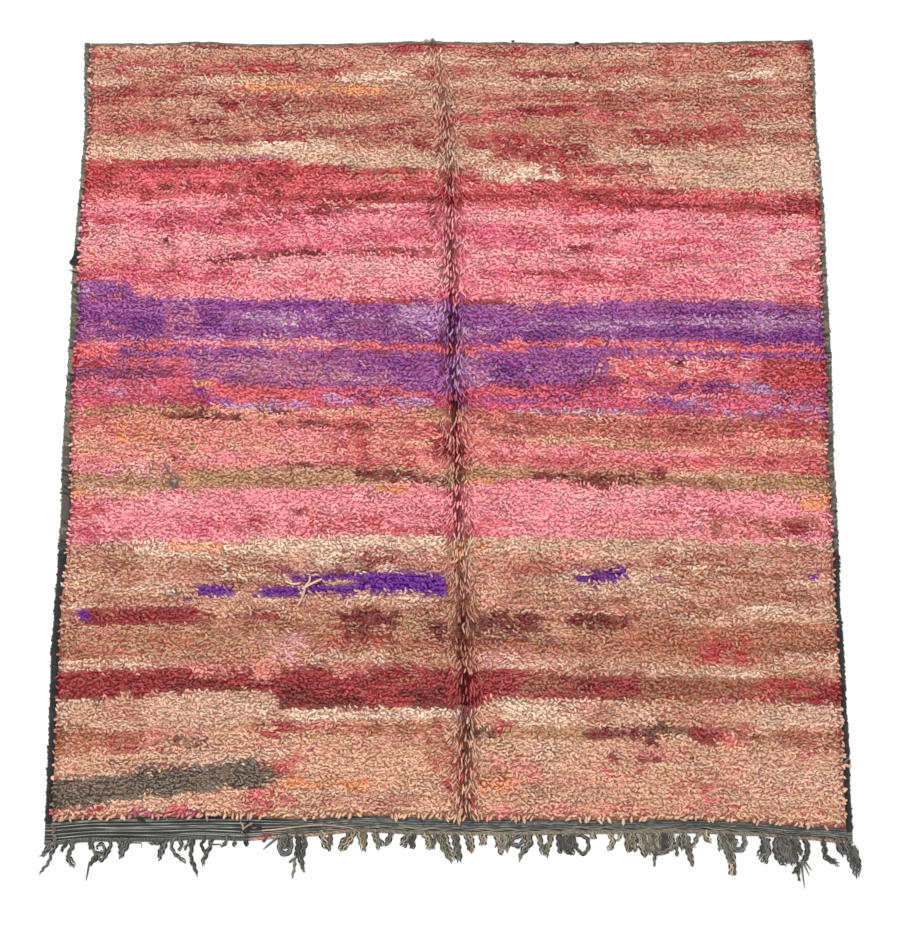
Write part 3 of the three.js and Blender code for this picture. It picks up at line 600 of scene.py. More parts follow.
chart = {  # a noise has its cells across and along the rug, and its seed
    "streakNoise": (210, 20, 11),
    "fleckNoise": (46, 13, 12),
    "fleckShare": 0.4,
    "contrast": 1.45,
    "knotChance": 0.42,
    "ragged": 3.5,
    "wave": 4,
    "waveNoise": (70, 500, 31),
    "clumpNoise": (26, 12, 13),
    "clumpShare": 0.45,
    "clumpContrast": 1.25,
    "strokeReach": 1.25,
    "strokeRagged": 0.4,
    "strokeEnd": 3,
    "strokeSide": 2.5,
    "strokeRim": (-0.35, 0.15),
    "edge": 0.7,
    "edgeNoise": (34, 12, 511),
    "takeUp": (0.28, 0.22),
    "wedgeWave": 12,
    "wedgeNoise": (46, 311),
    "wedgeShare": 0.985,
    "mottle": 0.2,
    "mottleNoise": (36, 24, 15),
    "knotTone": (0.9, 0.2),
}


def toLinear(rgb):
    value = np.asarray(rgb, float) / 255
    return np.where(value <= 0.04045, value / 12.92, ((value + 0.055) / 1.055) ** 2.4)


linearDyes = {name: toLinear(rgb) for name, rgb in dyes.items()}


def rampOf(names, value):
    colours = np.array([linearDyes[name] for name in names])
    at = np.clip(value, 0, 1) * (len(names) - 1)
    low = np.clip(at.astype(int), 0, len(names) - 2)
    share = (at - low)[:, None]
    return colours[low] * (1 - share) + colours[low + 1] * share


# The dye of the knots at x and y, in linear colour. roll is each knot's own chance values.
def dyeAt(x, y, roll):
    fleck = chart["fleckShare"] * drift(x, y, *chart["fleckNoise"])
    streak = (1 - chart["fleckShare"]) * drift(x, y, *chart["streakNoise"]) + fleck
    streak = 0.5 + (streak - 0.5) * chart["contrast"] + (roll[:, 0] - 0.5) * chart["knotChance"]
    jitter = (roll[:, 1] - 0.5) * 2 * chart["ragged"]
    colour = np.zeros((len(x), 3))
    free = np.ones(len(x), bool)
    for number, band in enumerate(bands):
        line = np.interp(x, *zip(*band["near"]))
        line += (drift(x, x * 0, *chart["waveNoise"], number) - 0.5) * 2 * chart["wave"]
        inside = free & (y + jitter > line)
        colour[inside] = rampOf(band["dyes"], streak[inside])
        free &= ~inside
    clump = chart["clumpShare"] * drift(x, y, *chart["clumpNoise"])
    chance = (1 - chart["clumpShare"]) * roll[:, 2] + clump
    chance = np.clip(0.5 + (chance - 0.5) * chart["clumpContrast"], 0, 1)
    early, late = chart["takeUp"]
    for number, stroke in enumerate(strokes):
        climb = stroke.get("climb", 0)
        reachX, reachY = (chart["strokeReach"] * stroke[size] + 4 for size in ("long", "tall"))
        near = np.abs(x - stroke["x"]) < reachX
        near = np.flatnonzero(near & (np.abs(y - stroke["y"]) < reachY + abs(climb)))
        across = (x[near] - stroke["x"]) / stroke["long"]
        along = y[near] + jitter[near] * chart["strokeRagged"] - stroke["y"] - climb * across
        along = np.abs(along / stroke["tall"]) ** chart["strokeSide"]
        depth = 1 - np.maximum(np.abs(across) ** chart["strokeEnd"], along)
        depth += (drift(x[near], y[near], *chart["edgeNoise"], number) - 0.5) * chart["edge"]
        amount = stroke["percent"] / 100 * smooth(*chart["strokeRim"], depth)
        taken = smooth(chance[near] - early, chance[near] + late, amount)[:, None]
        colour[near] = colour[near] * (1 - taken) + linearDyes[stroke["dye"]] * taken
    wave = (driftAlong(x, *chart["wedgeNoise"]) - 0.5) * chart["wedgeWave"]
    places, far, near = ([row[column] for row in greyWedge] for column in ("x", "far", "near"))
    grey = (x < places[-1]) & (roll[:, 2] < chart["wedgeShare"])
    grey &= y < np.interp(x, places, far) + wave + jitter
    grey &= y > np.interp(x, places, near) + wave + jitter
    colour = np.where(grey[:, None], linearDyes["slate"], colour)
    mottle = 1 + chart["mottle"] * (drift(x, y, *chart["mottleNoise"])[:, None] - 0.5)
    return colour * mottle * ranged(chart["knotTone"], roll[:, 3:4])


print("dyes charted")

# Helpers for meshes, node trees and materials


def meshFrom(name, points, faces):
    mesh = bpy.data.meshes.new(name)
    mesh.from_pydata([tuple(p) for p in np.asarray(points, float)], [], faces)
    mesh.update()
    return mesh


def addObject(name, mesh):
    thing = bpy.data.objects.new(name, mesh)
    bpy.context.scene.collection.objects.link(thing)
    return thing


def colourPoints(mesh, name, colours):
    layer = mesh.attributes.new(name, "FLOAT_COLOR", "POINT")
    rgba = np.ones((len(mesh.vertices), 4), np.float32)
    rgba[:, :3] = colours
    layer.data.foreach_set("color", rgba.ravel())


def numberPoints(mesh, name, values, kind="FLOAT", field="value"):
    layer = mesh.attributes.new(name, kind, "POINT")
    layer.data.foreach_set(field, np.asarray(values).ravel())


def smoothShade(mesh):
    mesh.polygons.foreach_set("use_smooth", [True] * len(mesh.polygons))


# Rings of points joined into a closed tube, with a fan at each end
def tubeFaces(rings, sides, start=0):
    faces = []
    for ring in range(rings - 1):
        for side in range(sides):
            a = start + ring * sides + side
            b = start + ring * sides + (side + 1) % sides
            faces.append((a, b, b + sides, a + sides))
    last = start + (rings - 1) * sides
    faces.append(tuple(start + side for side in reversed(range(sides))))
    faces.append(tuple(last + side for side in range(sides)))
    return faces


# A tube of yarn along a path in millimetres. radii is its half width at each point, and flat how
# high it is for its width. No part of it goes under the floor.
def yarnTube(path, radii, sides, flat=0.9):
    path = np.asarray(path, float)
    ahead = headings(path)
    across = np.cross(ahead, [0, 0, 1])
    long = np.linalg.norm(across, axis=1, keepdims=True)
    across = np.where(long > 0.05, across / np.maximum(long, 1e-9), [1, 0, 0])
    up = np.cross(across, ahead)
    angles = np.arange(sides) * 2 * np.pi / sides
    radii = np.broadcast_to(np.asarray(radii, float), len(path))[:, None, None]
    ring = np.cos(angles)[None, :, None] * across[:, None, :]
    ring = ring + np.sin(angles)[None, :, None] * flat * up[:, None, :]
    points = path[:, None, :] + ring * radii
    points[:, :, 2] = np.maximum(points[:, :, 2], plan["gap"] / 2)
    return points.reshape(-1, 3), tubeFaces(len(path), sides)


# Several tubes, with a colour for each, as one mesh
def joinTubes(name, tubes):
    points = []
    faces = []
    colours = []
    for tubePoints, tubeSides, colour in tubes:
        start = sum(len(p) for p in points)
        points.append(tubePoints)
        faces += [tuple(start + corner for corner in face) for face in tubeSides]
        colours.append(np.broadcast_to(colour, (len(tubePoints), 3)))
    mesh = meshFrom(name, placed(np.vstack(points)), faces)
    colourPoints(mesh, "dye", np.vstack(colours))
    smoothShade(mesh)
    return mesh


def makeTree(name, inputs):
    tree = bpy.data.node_groups.new(name, "GeometryNodeTree")
    face = tree.interface
    face.new_socket("Geometry", in_out="INPUT", socket_type="NodeSocketGeometry")
    for label, kind, value in inputs:
        socket = face.new_socket(label, in_out="INPUT", socket_type=kind)
        if value is not None:
            socket.default_value = value
    face.new_socket("Geometry", in_out="OUTPUT", socket_type="NodeSocketGeometry")
    return tree


# A node whose inputs are set to a value or joined to another node's output
def addNode(tree, kind, at, inputs=(), **settings):
    node = tree.nodes.new(kind)
    node.location = at
    for key, value in settings.items():
        setattr(node, key, value)
    for key, value in dict(inputs).items():
        if isinstance(value, bpy.types.NodeSocket):
            tree.links.new(value, node.inputs[key])
        else:
            node.inputs[key].default_value = value
    return node


# Lays one of a collection's shapes on each point, turned, sized and dyed by the point's attributes
def layingTree():
    tree = makeTree("layOnPoints", [
        ("Shapes", "NodeSocketCollection", None),
        ("Wool", "NodeSocketMaterial", None),
        ("Length", "NodeSocketFloat", 1.0),
        ("Thickness", "NodeSocketFloat", 1.0),
        ("Kinds", "NodeSocketInt", 1),
        ("Seed", "NodeSocketInt", 3),
    ])
    given = addNode(tree, "NodeGroupInput", (-800, 0)).outputs
    shapes = addNode(tree, "GeometryNodeCollectionInfo", (-560, 120), {
        "Collection": given["Shapes"],
        "Separate Children": True,
        "Reset Children": True,
    })
    oneLess = {0: given["Kinds"], 1: 1}
    lastKind = addNode(tree, "ShaderNodeMath", (-700, -160), oneLess, operation="SUBTRACT")
    chance = {4: 0, 5: lastKind.outputs[0], "Seed": given["Seed"]}
    kind = addNode(tree, "FunctionNodeRandomValue", (-560, -120), chance, data_type="INT")
    named = "GeometryNodeInputNamedAttribute"
    pose = addNode(tree, named, (-560, -320), {"Name": "pose"}, data_type="FLOAT_VECTOR")
    turned = addNode(tree, "FunctionNodeEulerToRotation", (-360, -320), {0: pose.outputs["Attribute"]})
    size = addNode(tree, named, (-560, -480), {"Name": "size"}, data_type="FLOAT_VECTOR")
    measures = {0: given["Length"], 1: given["Thickness"], 2: given["Thickness"]}
    stretch = addNode(tree, "ShaderNodeCombineXYZ", (-560, -640), measures)
    both = {0: size.outputs["Attribute"], 1: stretch.outputs[0]}
    scaled = addNode(tree, "ShaderNodeVectorMath", (-360, -520), both, operation="MULTIPLY")
    laid = addNode(tree, "GeometryNodeInstanceOnPoints", (-120, 0), {
        "Pick Instance": True,
        "Points": given["Geometry"],
        "Instance": shapes.outputs[0],
        "Instance Index": kind.outputs[2],
        "Rotation": turned.outputs[0],
        "Scale": scaled.outputs[0],
    })
    real = addNode(tree, "GeometryNodeRealizeInstances", (80, 0), {0: laid.outputs[0]})
    dress = {"Geometry": real.outputs[0], "Material": given["Wool"]}
    dressed = addNode(tree, "GeometryNodeSetMaterial", (260, 0), dress)
    addNode(tree, "NodeGroupOutput", (440, 0), {0: dressed.outputs[0]})
    return tree


# Runs a tree on an object and keeps the result as a plain mesh of its own
def grown(name, seedObject, tree, values):
    modifier = seedObject.modifiers.new("grow", "NODES")
    modifier.node_group = tree
    for socket in tree.interface.items_tree:
        if socket.in_out == "INPUT" and socket.name in values:
            modifier[socket.identifier] = values[socket.name]
    graph = bpy.context.evaluated_depsgraph_get()
    source = seedObject.evaluated_get(graph)
    mesh = bpy.data.meshes.new_from_object(source, preserve_all_data_layers=True, depsgraph=graph)
    mesh.name = name
    for spare in ("pose", "size"):
        if spare in mesh.attributes:
            mesh.attributes.remove(mesh.attributes[spare])
    bpy.data.objects.remove(seedObject)
    return addObject(name, mesh)


# Points that carry how the shape laid on them is turned, sized and dyed
def seedPoints(name, points, poses, sizes, colours):
    mesh = meshFrom(name, placed(points), [])
    numberPoints(mesh, "pose", np.asarray(poses, np.float32), "FLOAT_VECTOR", "vector")
    numberPoints(mesh, "size", np.asarray(sizes, np.float32), "FLOAT_VECTOR", "vector")
    colourPoints(mesh, "dye", colours)
    return addObject(name, mesh)


def shapeCollection(name, meshes):
    holder = bpy.data.collections.new(name)
    for mesh in meshes:
        holder.objects.link(bpy.data.objects.new(mesh.name, mesh))
    return holder


wool = {
    "sheenRoughness": 0.5,
    "fibreDetail": 3,
    "fibreLow": 0.3,
    "fibreHigh": 0.7,
    "rootEnd": 0.95,
    "bumpDepth": 0.001,
    "strayScale": 0.6,
    "gapLow": 0.02,
    "gapHigh": 0.2,
    "strandDark": 0.72,
    "strandLight": 1.15,
}


# Draws strands that lie along the rows, each a little lighter or darker, with painted shade in the deep
# gaps between them
def strandTone(tree, look, place, colour):
    def vectorMath(at, operation, inputs):
        return addNode(tree, "ShaderNodeVectorMath", at, inputs, operation=operation).outputs[0]

    stray = addNode(tree, "ShaderNodeTexNoise", (-900, -500), {
        "Vector": place,
        "Scale": wool["strayScale"] / look["strandLong"],
        "Detail": 1,
    })
    centred = vectorMath((-700, -500), "SUBTRACT", {0: stray.outputs["Color"], 1: (0.5, 0.5, 0.5)})
    swing = (look["strandStray"], look["strandStray"] * 2, 0)
    moved = vectorMath((-500, -500), "MULTIPLY_ADD", {0: centred, 1: swing, 2: place})
    squeeze = (1 / look["strandLong"], 1 / look["strandWide"], 0)
    cells = {"Vector": vectorMath((-300, -500), "MULTIPLY", {0: moved, 1: squeeze}), "Scale": 1}
    gap = addNode(tree, "ShaderNodeTexVoronoi", (-100, -560), cells, feature="DISTANCE_TO_EDGE")
    strand = addNode(tree, "ShaderNodeTexVoronoi", (-100, -380), cells, feature="F1")
    beside = addNode(tree, "ShaderNodeMapRange", (100, -560), {
        "Value": gap.outputs["Distance"],
        "From Min": wool["gapLow"],
        "From Max": wool["gapHigh"],
    }, interpolation_type="SMOOTHSTEP")
    shade = addNode(tree, "ShaderNodeMapRange", (100, -380), {
        "Value": strand.outputs["Color"],
        "To Min": wool["strandDark"],
        "To Max": wool["strandLight"],
    })
    toned = vectorMath((280, -380), "SCALE", {0: colour, "Scale": shade.outputs[0]})
    # The painted shade in the gaps between the strands
    deep = vectorMath((280, -200), "MULTIPLY", {0: colour, 1: look["gapShade"]})
    mixed = {"Factor": beside.outputs[0], "A": deep, "B": toned}
    return addNode(tree, "ShaderNodeMix", (460, -300), mixed, data_type="RGBA").outputs["Result"]


# Painted shade towards the root, as deep between the lobes: darker and richer where the shape's own
# along value is low
def rootShade(tree, look, colour):
    along = addNode(tree, "ShaderNodeAttribute", (-700, 420), attribute_name="along")
    deep = addNode(tree, "ShaderNodeGamma", (-100, 260), {"Color": colour, "Gamma": look["rootShadeGamma"]})
    tint = {0: deep.outputs[0], 1: look["rootShade"]}
    redder = addNode(tree, "ShaderNodeVectorMath", (40, 300), tint, operation="MULTIPLY")
    rise = addNode(tree, "ShaderNodeMapRange", (-300, 420), {
        "Value": along.outputs["Fac"],
        "From Min": look["root"],
        "From Max": wool["rootEnd"],
    }, interpolation_type="SMOOTHSTEP")
    mixed = {"Factor": rise.outputs[0], "A": redder.outputs[0], "B": colour}
    return addNode(tree, "ShaderNodeMix", (120, 180), mixed, data_type="RGBA").outputs["Result"]


# Wool in the colours of the dye attribute, a little uneven from fibre to fibre
def woolMaterial(name, look):
    material = bpy.data.materials.new(name)
    material.use_nodes = True
    tree = material.node_tree
    tree.nodes.clear()
    dye = addNode(tree, "ShaderNodeAttribute", (-700, 200), attribute_name="dye")
    place = addNode(tree, "ShaderNodeTexCoord", (-900, -200)).outputs["Object"]
    fibre = addNode(tree, "ShaderNodeTexNoise", (-700, -40), {
        "Vector": place,
        "Scale": look["fibreScale"],
        "Detail": wool["fibreDetail"],
    }).outputs["Fac"]
    tone = addNode(tree, "ShaderNodeMapRange", (-500, -40), {
        "Value": fibre,
        "From Min": wool["fibreLow"],
        "From Max": wool["fibreHigh"],
        "To Min": 1 - look["fibreTone"],
        "To Max": 1 + look["fibreTone"],
    })
    uneven = {0: dye.outputs["Color"], "Scale": tone.outputs[0]}
    colour = addNode(tree, "ShaderNodeVectorMath", (-280, 120), uneven, operation="SCALE").outputs[0]
    if "root" in look:
        colour = rootShade(tree, look, colour)
    if "strandLong" in look:
        colour = strandTone(tree, look, place, colour)
    bump = addNode(tree, "ShaderNodeBump", (200, -240), {
        "Height": fibre,
        "Strength": look["bump"],
        "Distance": wool["bumpDepth"],
    })
    skin = addNode(tree, "ShaderNodeBsdfPrincipled", (420, 0), {
        "Base Color": colour,
        "Normal": bump.outputs[0],
        "Roughness": look["roughness"],
        "Specular IOR Level": look["specular"],
        "Sheen Weight": look["sheen"],
        "Sheen Roughness": wool["sheenRoughness"],
    })
    addNode(tree, "ShaderNodeOutputMaterial", (700, 0), {0: skin.outputs[0]})
    return material


laying = layingTree()
print("helpers ready")

# Pile

pile = {
    "rowPitch": 13.0,
    "knotPitch": 8.8,
    "rowShift": 0.4,
    "pairGap": 0.46,
    "jitter": 1.9,
    "swirl": 1.5,
    "swirlNoise": (38, 24, 405),
    "stray": 0.5,
    "nap": 0.14,
    "root": 9.5,
    "lump": 1.8,
    "lumpNoise": (48, 40, 401),
    "lumpTall": 0.14,
    "lobeLength": 1.0,
    "lobeThickness": 1.0,
    "long": (0.82, 0.4),
    "wide": (0.86, 0.3),
    "tall": (0.88, 0.26),
    "lean": 0.13,
    "tip": 0.16,
    "shade": (0.85, 0.26),
    "pale": 0.033,
    "creaseReach": 56,
    "creaseCore": 17,
    "creaseColumn": 7.2,
    "creaseWander": 1.3,
    "creaseNoise": (40, 46, 411),
    "creaseHollow": 0.27,
    "creaseDrop": 2.0,
    "creasePull": 0.9,
    "creaseFan": 1.3,
    "creaseStray": (0.8, -0.4),
    "creaseDown": 0.75,
    "creaseLong": 0.6,
    "creaseThin": 0.28,
    # How much painted shade darkens the lobes in the crease's hollows and on its slopes
    "hollowShade": (0.5, 0.4),
    "slopeShade": 0.02,
    "rimRoll": 8,
    "rimInset": 5,
    "rimDrop": 1.5,
    "rimLean": 0.16,
    "rimOut": 1.2,
    "rimNear": 0.9,
    "rimStray": 0.7,
    "rimShort": 0.12,
    "rimWide": 0.15,
    "nearLong": 0.45,
    "farReach": 20,
    "farTurn": 30,
    "strips": 5,
    "seed": 23,
}

pileLook = {
    "roughness": 0.92,
    "specular": 0.12,
    "sheen": 0.0,
    "fibreScale": 420,
    "fibreTone": 0.1,
    "bump": 0.4,
    # The painted shade at the lobes' roots: where it starts, how much darker and how much redder
    "root": 0.42,
    "rootShadeGamma": 1.2,
    "rootShade": (0.86, 0.68, 0.7),
}

# How far each lobe bends aside and droops, and how long and thick it is
lobeShapes = table(("bend", "droop", "reach", "thick"), [
    (2.2, 1.0, 11.6, 3.1), (-3.0, 1.8, 11.0, 3.4), (4.8, 0.6, 10.0, 3.1), (-5.2, 2.0, 9.6, 3.3),
    (0.6, 2.4, 12.6, 3.0), (-1.4, 0.0, 10.0, 3.5),
])


lobeSection = {"wide": 1.22, "high": 0.85, "angles": (math.pi / 2, math.pi * 7 / 6, math.pi * 11 / 6)}


# A lobe of pile yarn: it rises from its knot, leans over towards +X and ends in a blunt tip. Its
# section is a soft triangle with one corner up.
def lobeMesh(name, shape):
    reach, bend, droop, thick = (shape[key] for key in ("reach", "bend", "droop", "thick"))
    rings = table(("at", "way", "grow", "along"), [
        ((1.2, bend * -0.2, 8.0), (0.75, 0, 0.66), 1.0, 0.76),
        ((reach * 0.7, bend * 0.55, 10.4 - droop * 0.4), (1, 0, -0.15), 1.02, 0.95),
    ])
    tip = (reach + 0.6, bend * 1.1, 9.4 - droop)
    points = [(0, 0, 0)]
    along = [0.0]
    for ring in rings:
        way = Vector(ring["way"]).normalized()
        across = Vector((0, 1, 0))
        up = Vector((-way.z, 0, way.x))
        for angle in lobeSection["angles"]:
            offset = across * math.cos(angle) * thick * lobeSection["wide"]
            offset += up * math.sin(angle) * thick * lobeSection["high"]
            points.append(tuple(Vector(ring["at"]) + offset * ring["grow"]))
            along.append(ring["along"])
    points.append(tip)
    along.append(1.0)
    faces = []
    for side in range(3):
        after = (side + 1) % 3
        faces.append((0, 1 + after, 1 + side))
        faces.append((1 + side, 1 + after, 4 + after, 4 + side))
        faces.append((4 + side, 4 + after, 7))
    mesh = meshFrom(name, np.array(points) * mm, faces)
    numberPoints(mesh, "along", np.array(along, np.float32))
    smoothShade(mesh)
    return mesh


# How deep the fold is along the rug, as a share
foldRows = table(("y", "deep"), [
    (-960, 0.7), (-880, 0.9), (-660, 1.0), (-480, 0.8), (-330, 0.75), (-200, 0.95), (100, 1.0),
    (560, 0.9), (700, 0.55), (980, 0.35),
])


# A second, short fold beside the crease
sideFold = {"y": 500, "x": -38, "tall": 52, "wide": 0.42, "slant": -0.12, "deep": 0.62}
foldFlank = (1, 0.15)  # the shares of the reach where a fold begins and where it is at its deepest


# How far a place is into the crease, from 0 outside the reach to 1 at its middle
def foldAt(x, y, reach):
    main = smooth(*foldFlank, np.abs(x - creaseAt(y)) / reach) * follow(foldRows, "y", "deep", y)
    aside = np.abs(x - sideFold["x"] - (y - sideFold["y"]) * sideFold["slant"])
    ends = smooth(1, 0.5, np.abs(y - sideFold["y"]) / sideFold["tall"])
    beside = smooth(*foldFlank, aside / (reach * sideFold["wide"])) * ends * sideFold["deep"]
    return np.maximum(main, beside)


# How the dye is darkened and reddened as painted shade in the crease
creaseShading = {"power": 1.6, "tint": (0.2, 0.08, 0.1)}


# Painted shade deep in the crease: the dye made darker and redder where little light comes
def creaseShade(colour, share):
    deep = colour ** creaseShading["power"] * np.array(creaseShading["tint"])
    return colour * (1 - share[:, None]) + deep * share[:, None]


# Two lobes for each knot, which lean apart along the row and turn along the crease beside it
def pilePoints():
    rng = np.random.default_rng(pile["seed"])
    across = int((innerEdge(1, 0) - innerEdge(-1, 0)) / pile["knotPitch"])
    rows = int((farPile(0) - nearPile(0)) / pile["rowPitch"])
    shareX, shareY = np.meshgrid((np.arange(across) + 0.3) / across, (np.arange(rows) + 0.5) / rows)
    shareX = shareX + (np.arange(rows) % 2)[:, None] * pile["rowShift"] / across
    x, y = fieldPlaces(shareX.ravel(), shareY.ravel())
    count = len(x)
    colour = dyeAt(x, y, rng.random((count, 4)))
    inset = pile["rimInset"]
    points = []
    poses = []
    sizes = []
    colours = []
    for lobe in range(2):
        chance = rng.random((count, 8))
        px = x + (chance[:, 0] - 0.5) * 2 * pile["jitter"]
        py = y + (lobe - 0.5) * pile["rowPitch"] * pile["pairGap"]
        py = py + (chance[:, 1] - 0.5) * 2 * pile["jitter"]
        swirl = (drift(px, py, *pile["swirlNoise"]) - 0.5) * pile["swirl"]
        angle = math.pi * lobe + swirl + rng.normal(0, pile["stray"], count)
        wayX = np.cos(angle)
        wayY = np.sin(angle) + pile["nap"]
        # In the crease the lobes gather in columns, with hollows between them
        fold = foldAt(px, py, pile["creaseReach"])
        core = foldAt(px, py, pile["creaseCore"])
        wander = (drift(px, py, *pile["creaseNoise"]) - 0.5) * pile["creaseWander"]
        column = (px - creaseAt(py)) / pile["creaseColumn"] + wander
        sunk = 0.3 * smooth(0.15, 0.6, fold) + 0.7 * core
        hollow = np.abs(column - np.floor(column) - 0.5) > 0.5 - pile["creaseHollow"] * sunk
        goal = np.where(hollow, np.round(column), np.floor(column) + 0.5)
        px = px + (goal - column) * pile["creaseColumn"] * smooth(0.2, 0.6, fold) * pile["creasePull"]
        upright = smooth(0.08, 0.5, fold)
        falls = (chance[:, 2] < pile["creaseDown"]) | (py > farPile(px) - pile["farTurn"])
        fan = (px - creaseAt(py)) / pile["creaseReach"] * pile["creaseFan"]
        fan = fan + (chance[:, 3] - 0.5) * ranged(pile["creaseStray"], core)
        wayX = wayX * (1 - upright) + upright * fan
        wayY = wayY * (1 - upright) + upright * np.where(falls, -1.0, 1.0)
        # At the rim they roll outwards, and at the far end none leans over the edging
        edgeLeft = smooth(pile["rimRoll"], 0, px - innerEdge(-1, py) - inset)
        edgeRight = smooth(pile["rimRoll"], 0, innerEdge(1, py) - px - inset)
        edgeNear = smooth(pile["rimRoll"], 0, py - nearPile(px) - inset)
        rim = np.clip(edgeLeft + edgeRight + edgeNear, 0, 1)
        wayX = wayX * (1 - rim) + pile["rimOut"] * (edgeRight - edgeLeft)
        wayX = wayX + rim * (chance[:, 3] - 0.5) * (pile["rimStray"] + edgeNear)
        wayY = wayY * (1 - rim) - pile["rimNear"] * edgeNear
        wayY = wayY + rim * (chance[:, 4] - 0.5) * pile["rimStray"]
        wayY = np.where(py > farPile(px) - pile["farReach"], -np.abs(wayY), wayY)
        lump = drift(px, py, *pile["lumpNoise"]) - 0.5
        z = pile["root"] + pile["lump"] * lump - fold - core
        z = z - pile["rimDrop"] * rim - pile["creaseDrop"] * hollow
        tall = ranged(pile["tall"], chance[:, 5]) + pile["lumpTall"] * lump - 0.1 * fold - 0.08 * rim
        long = ranged(pile["long"], chance[:, 6]) * (1 + pile["creaseLong"] * upright)
        long = long * (1 - pile["rimShort"] * rim + pile["nearLong"] * edgeNear)
        wide = ranged(pile["wide"], chance[:, 7])
        wide = wide * (1 + pile["rimWide"] * rim + pile["rimWide"] * edgeNear)
        wide = wide * (1 - pile["creaseThin"] * upright)
        lean = rng.normal(0.0, pile["lean"], count) + pile["rimLean"] * rim
        tip = rng.normal(0.0, pile["tip"], count)
        inside = (px > innerEdge(-1, py) + inset) & (px < innerEdge(1, py) - inset)
        inside &= (py > nearPile(px) + inset) & (py < farPile(px) - inset)
        points.append(np.stack([px, py, z], 1)[inside])
        poses.append(np.stack([tip, lean, np.arctan2(wayY, wayX)], 1)[inside])
        sizes.append(np.stack([long, wide, tall], 1)[inside])
        shade = ranged(pile["shade"], rng.random((count, 1)))
        # Painted shade: lobes in the crease's hollows are darkened much, those on its slopes a little
        sunk = np.where(hollow, ranged(pile["hollowShade"], core), pile["slopeShade"] * fold)
        # Each lobe outside the hollows is made a little paler, partly as faded wool and partly as
        # painted sheen
        pale = pile["pale"] * (0.5 + rng.random((count, 1))) * (1 - hollow[:, None])
        colours.append((creaseShade(colour, sunk) * shade + pale)[inside])
    return [np.vstack(each) for each in (points, poses, sizes, colours)]


pileWool = woolMaterial("pileWool", pileLook)
lobes = shapeCollection("lobes", [lobeMesh(f"lobe{n}", shape) for n, shape in enumerate(lobeShapes)])
points, poses, sizes, colours = pilePoints()
print("pile lobes:", len(points))
cuts = np.quantile(points[:, 1], np.linspace(0, 1, pile["strips"] + 1))
pilePieces = []
for strip in range(pile["strips"]):
    last = strip == pile["strips"] - 1
    inside = (points[:, 1] >= cuts[strip]) & (points[:, 1] < cuts[strip + 1] + last)
    seeds = seedPoints("knots", points[inside], poses[inside], sizes[inside], colours[inside])
    piece = grown(f"pile_{strip + 1}", seeds, laying, {
        "Shapes": lobes,
        "Wool": pileWool,
        "Length": pile["lobeLength"],
        "Thickness": pile["lobeThickness"],
        "Kinds": len(lobeShapes),
        "Seed": pile["seed"] + strip,
    })
    pilePieces.append(piece)
    print(piece.name, len(piece.data.polygons), "faces")

# Ground weave, with the collars of the knots on it

ground = {
    "columns": 110,
    "rows": 110,
    "top": 17.0,
    "bumps": 2.4,
    "bumpNoise": (30, 26, 71),
    "dip": 3,
    "rim": 0.5,
    "gapShadePower": 1.08,
    "gapShadeTint": (0.9, 0.8, 0.81),
    "under": 0.8,
    "seed": 71,
}

groundLook = {
    "roughness": 0.95,
    "specular": 0.05,
    "sheen": 0.0,
    "fibreScale": 420,
    "fibreTone": 0.1,
    "bump": 0.4,
    "strandLong": 0.013,
    "strandWide": 0.0052,
    "strandStray": 0.007,
    "gapShade": (0.42, 0.26, 0.27),
}


def groundMesh():
    columns, rows = ground["columns"], ground["rows"]
    shareX, shareY = np.meshgrid(np.linspace(0, 1, columns + 1), np.linspace(0, 1, rows + 1))
    x, y = fieldPlaces(shareX.ravel(), shareY.ravel())
    fold = foldAt(x, y, pile["creaseReach"])
    core = foldAt(x, y, pile["creaseCore"])
    top = ground["top"] + ground["bumps"] * (drift(x, y, *ground["bumpNoise"]) - 0.5)
    top = top - ground["dip"] * fold - ground["dip"] * core
    inset = np.minimum(shareX, 1 - shareX).ravel() * columns
    inset = np.minimum(inset, np.minimum(shareY, 1 - shareY).ravel() * rows)
    top = top * (ground["rim"] + (1 - ground["rim"]) * smooth(0, 1, inset))
    count = len(x)
    points = np.vstack([np.stack([x, y, z], 1) for z in (top, np.full(count, plan["gap"]))])
    roll = np.random.default_rng(ground["seed"]).random((count, 4))
    dye = dyeAt(x, y, roll)
    # The ground's top is painted darker and redder than the dye, as the shade deep between the lobes,
    # and darker still in the crease
    gap = creaseShade(dye ** ground["gapShadePower"] * np.array(ground["gapShadeTint"]), 0.4 * fold + 0.6 * core)
    colours = np.vstack([gap, dye * ground["under"]])
    wide = columns + 1
    faces = []
    for row in range(rows):
        for column in range(columns):
            a = row * wide + column
            faces.append((a, a + 1, a + 1 + wide, a + wide))
    for row in range(rows):
        west = row * wide
        east = west + columns
        faces.append((west, west + wide, count + west + wide, count + west))
        faces.append((east, count + east, count + east + wide, east + wide))
        for column in range(columns):
            a = count + row * wide + column
            faces.append((a, a + wide, a + 1 + wide, a + 1))
    for column in range(columns):
        far = rows * wide + column
        faces.append((column, count + column, count + column + 1, column + 1))
        faces.append((far, far + 1, count + far + 1, count + far))
    mesh = meshFrom("ground_weave", placed(points), faces)
    colourPoints(mesh, "dye", colours)
    smoothShade(mesh)
    return mesh


groundWool = woolMaterial("groundWool", groundLook)
groundWeave = addObject("ground_weave", groundMesh())
groundWeave.data.materials.append(groundWool)
print("ground woven")

# Overcast side cords

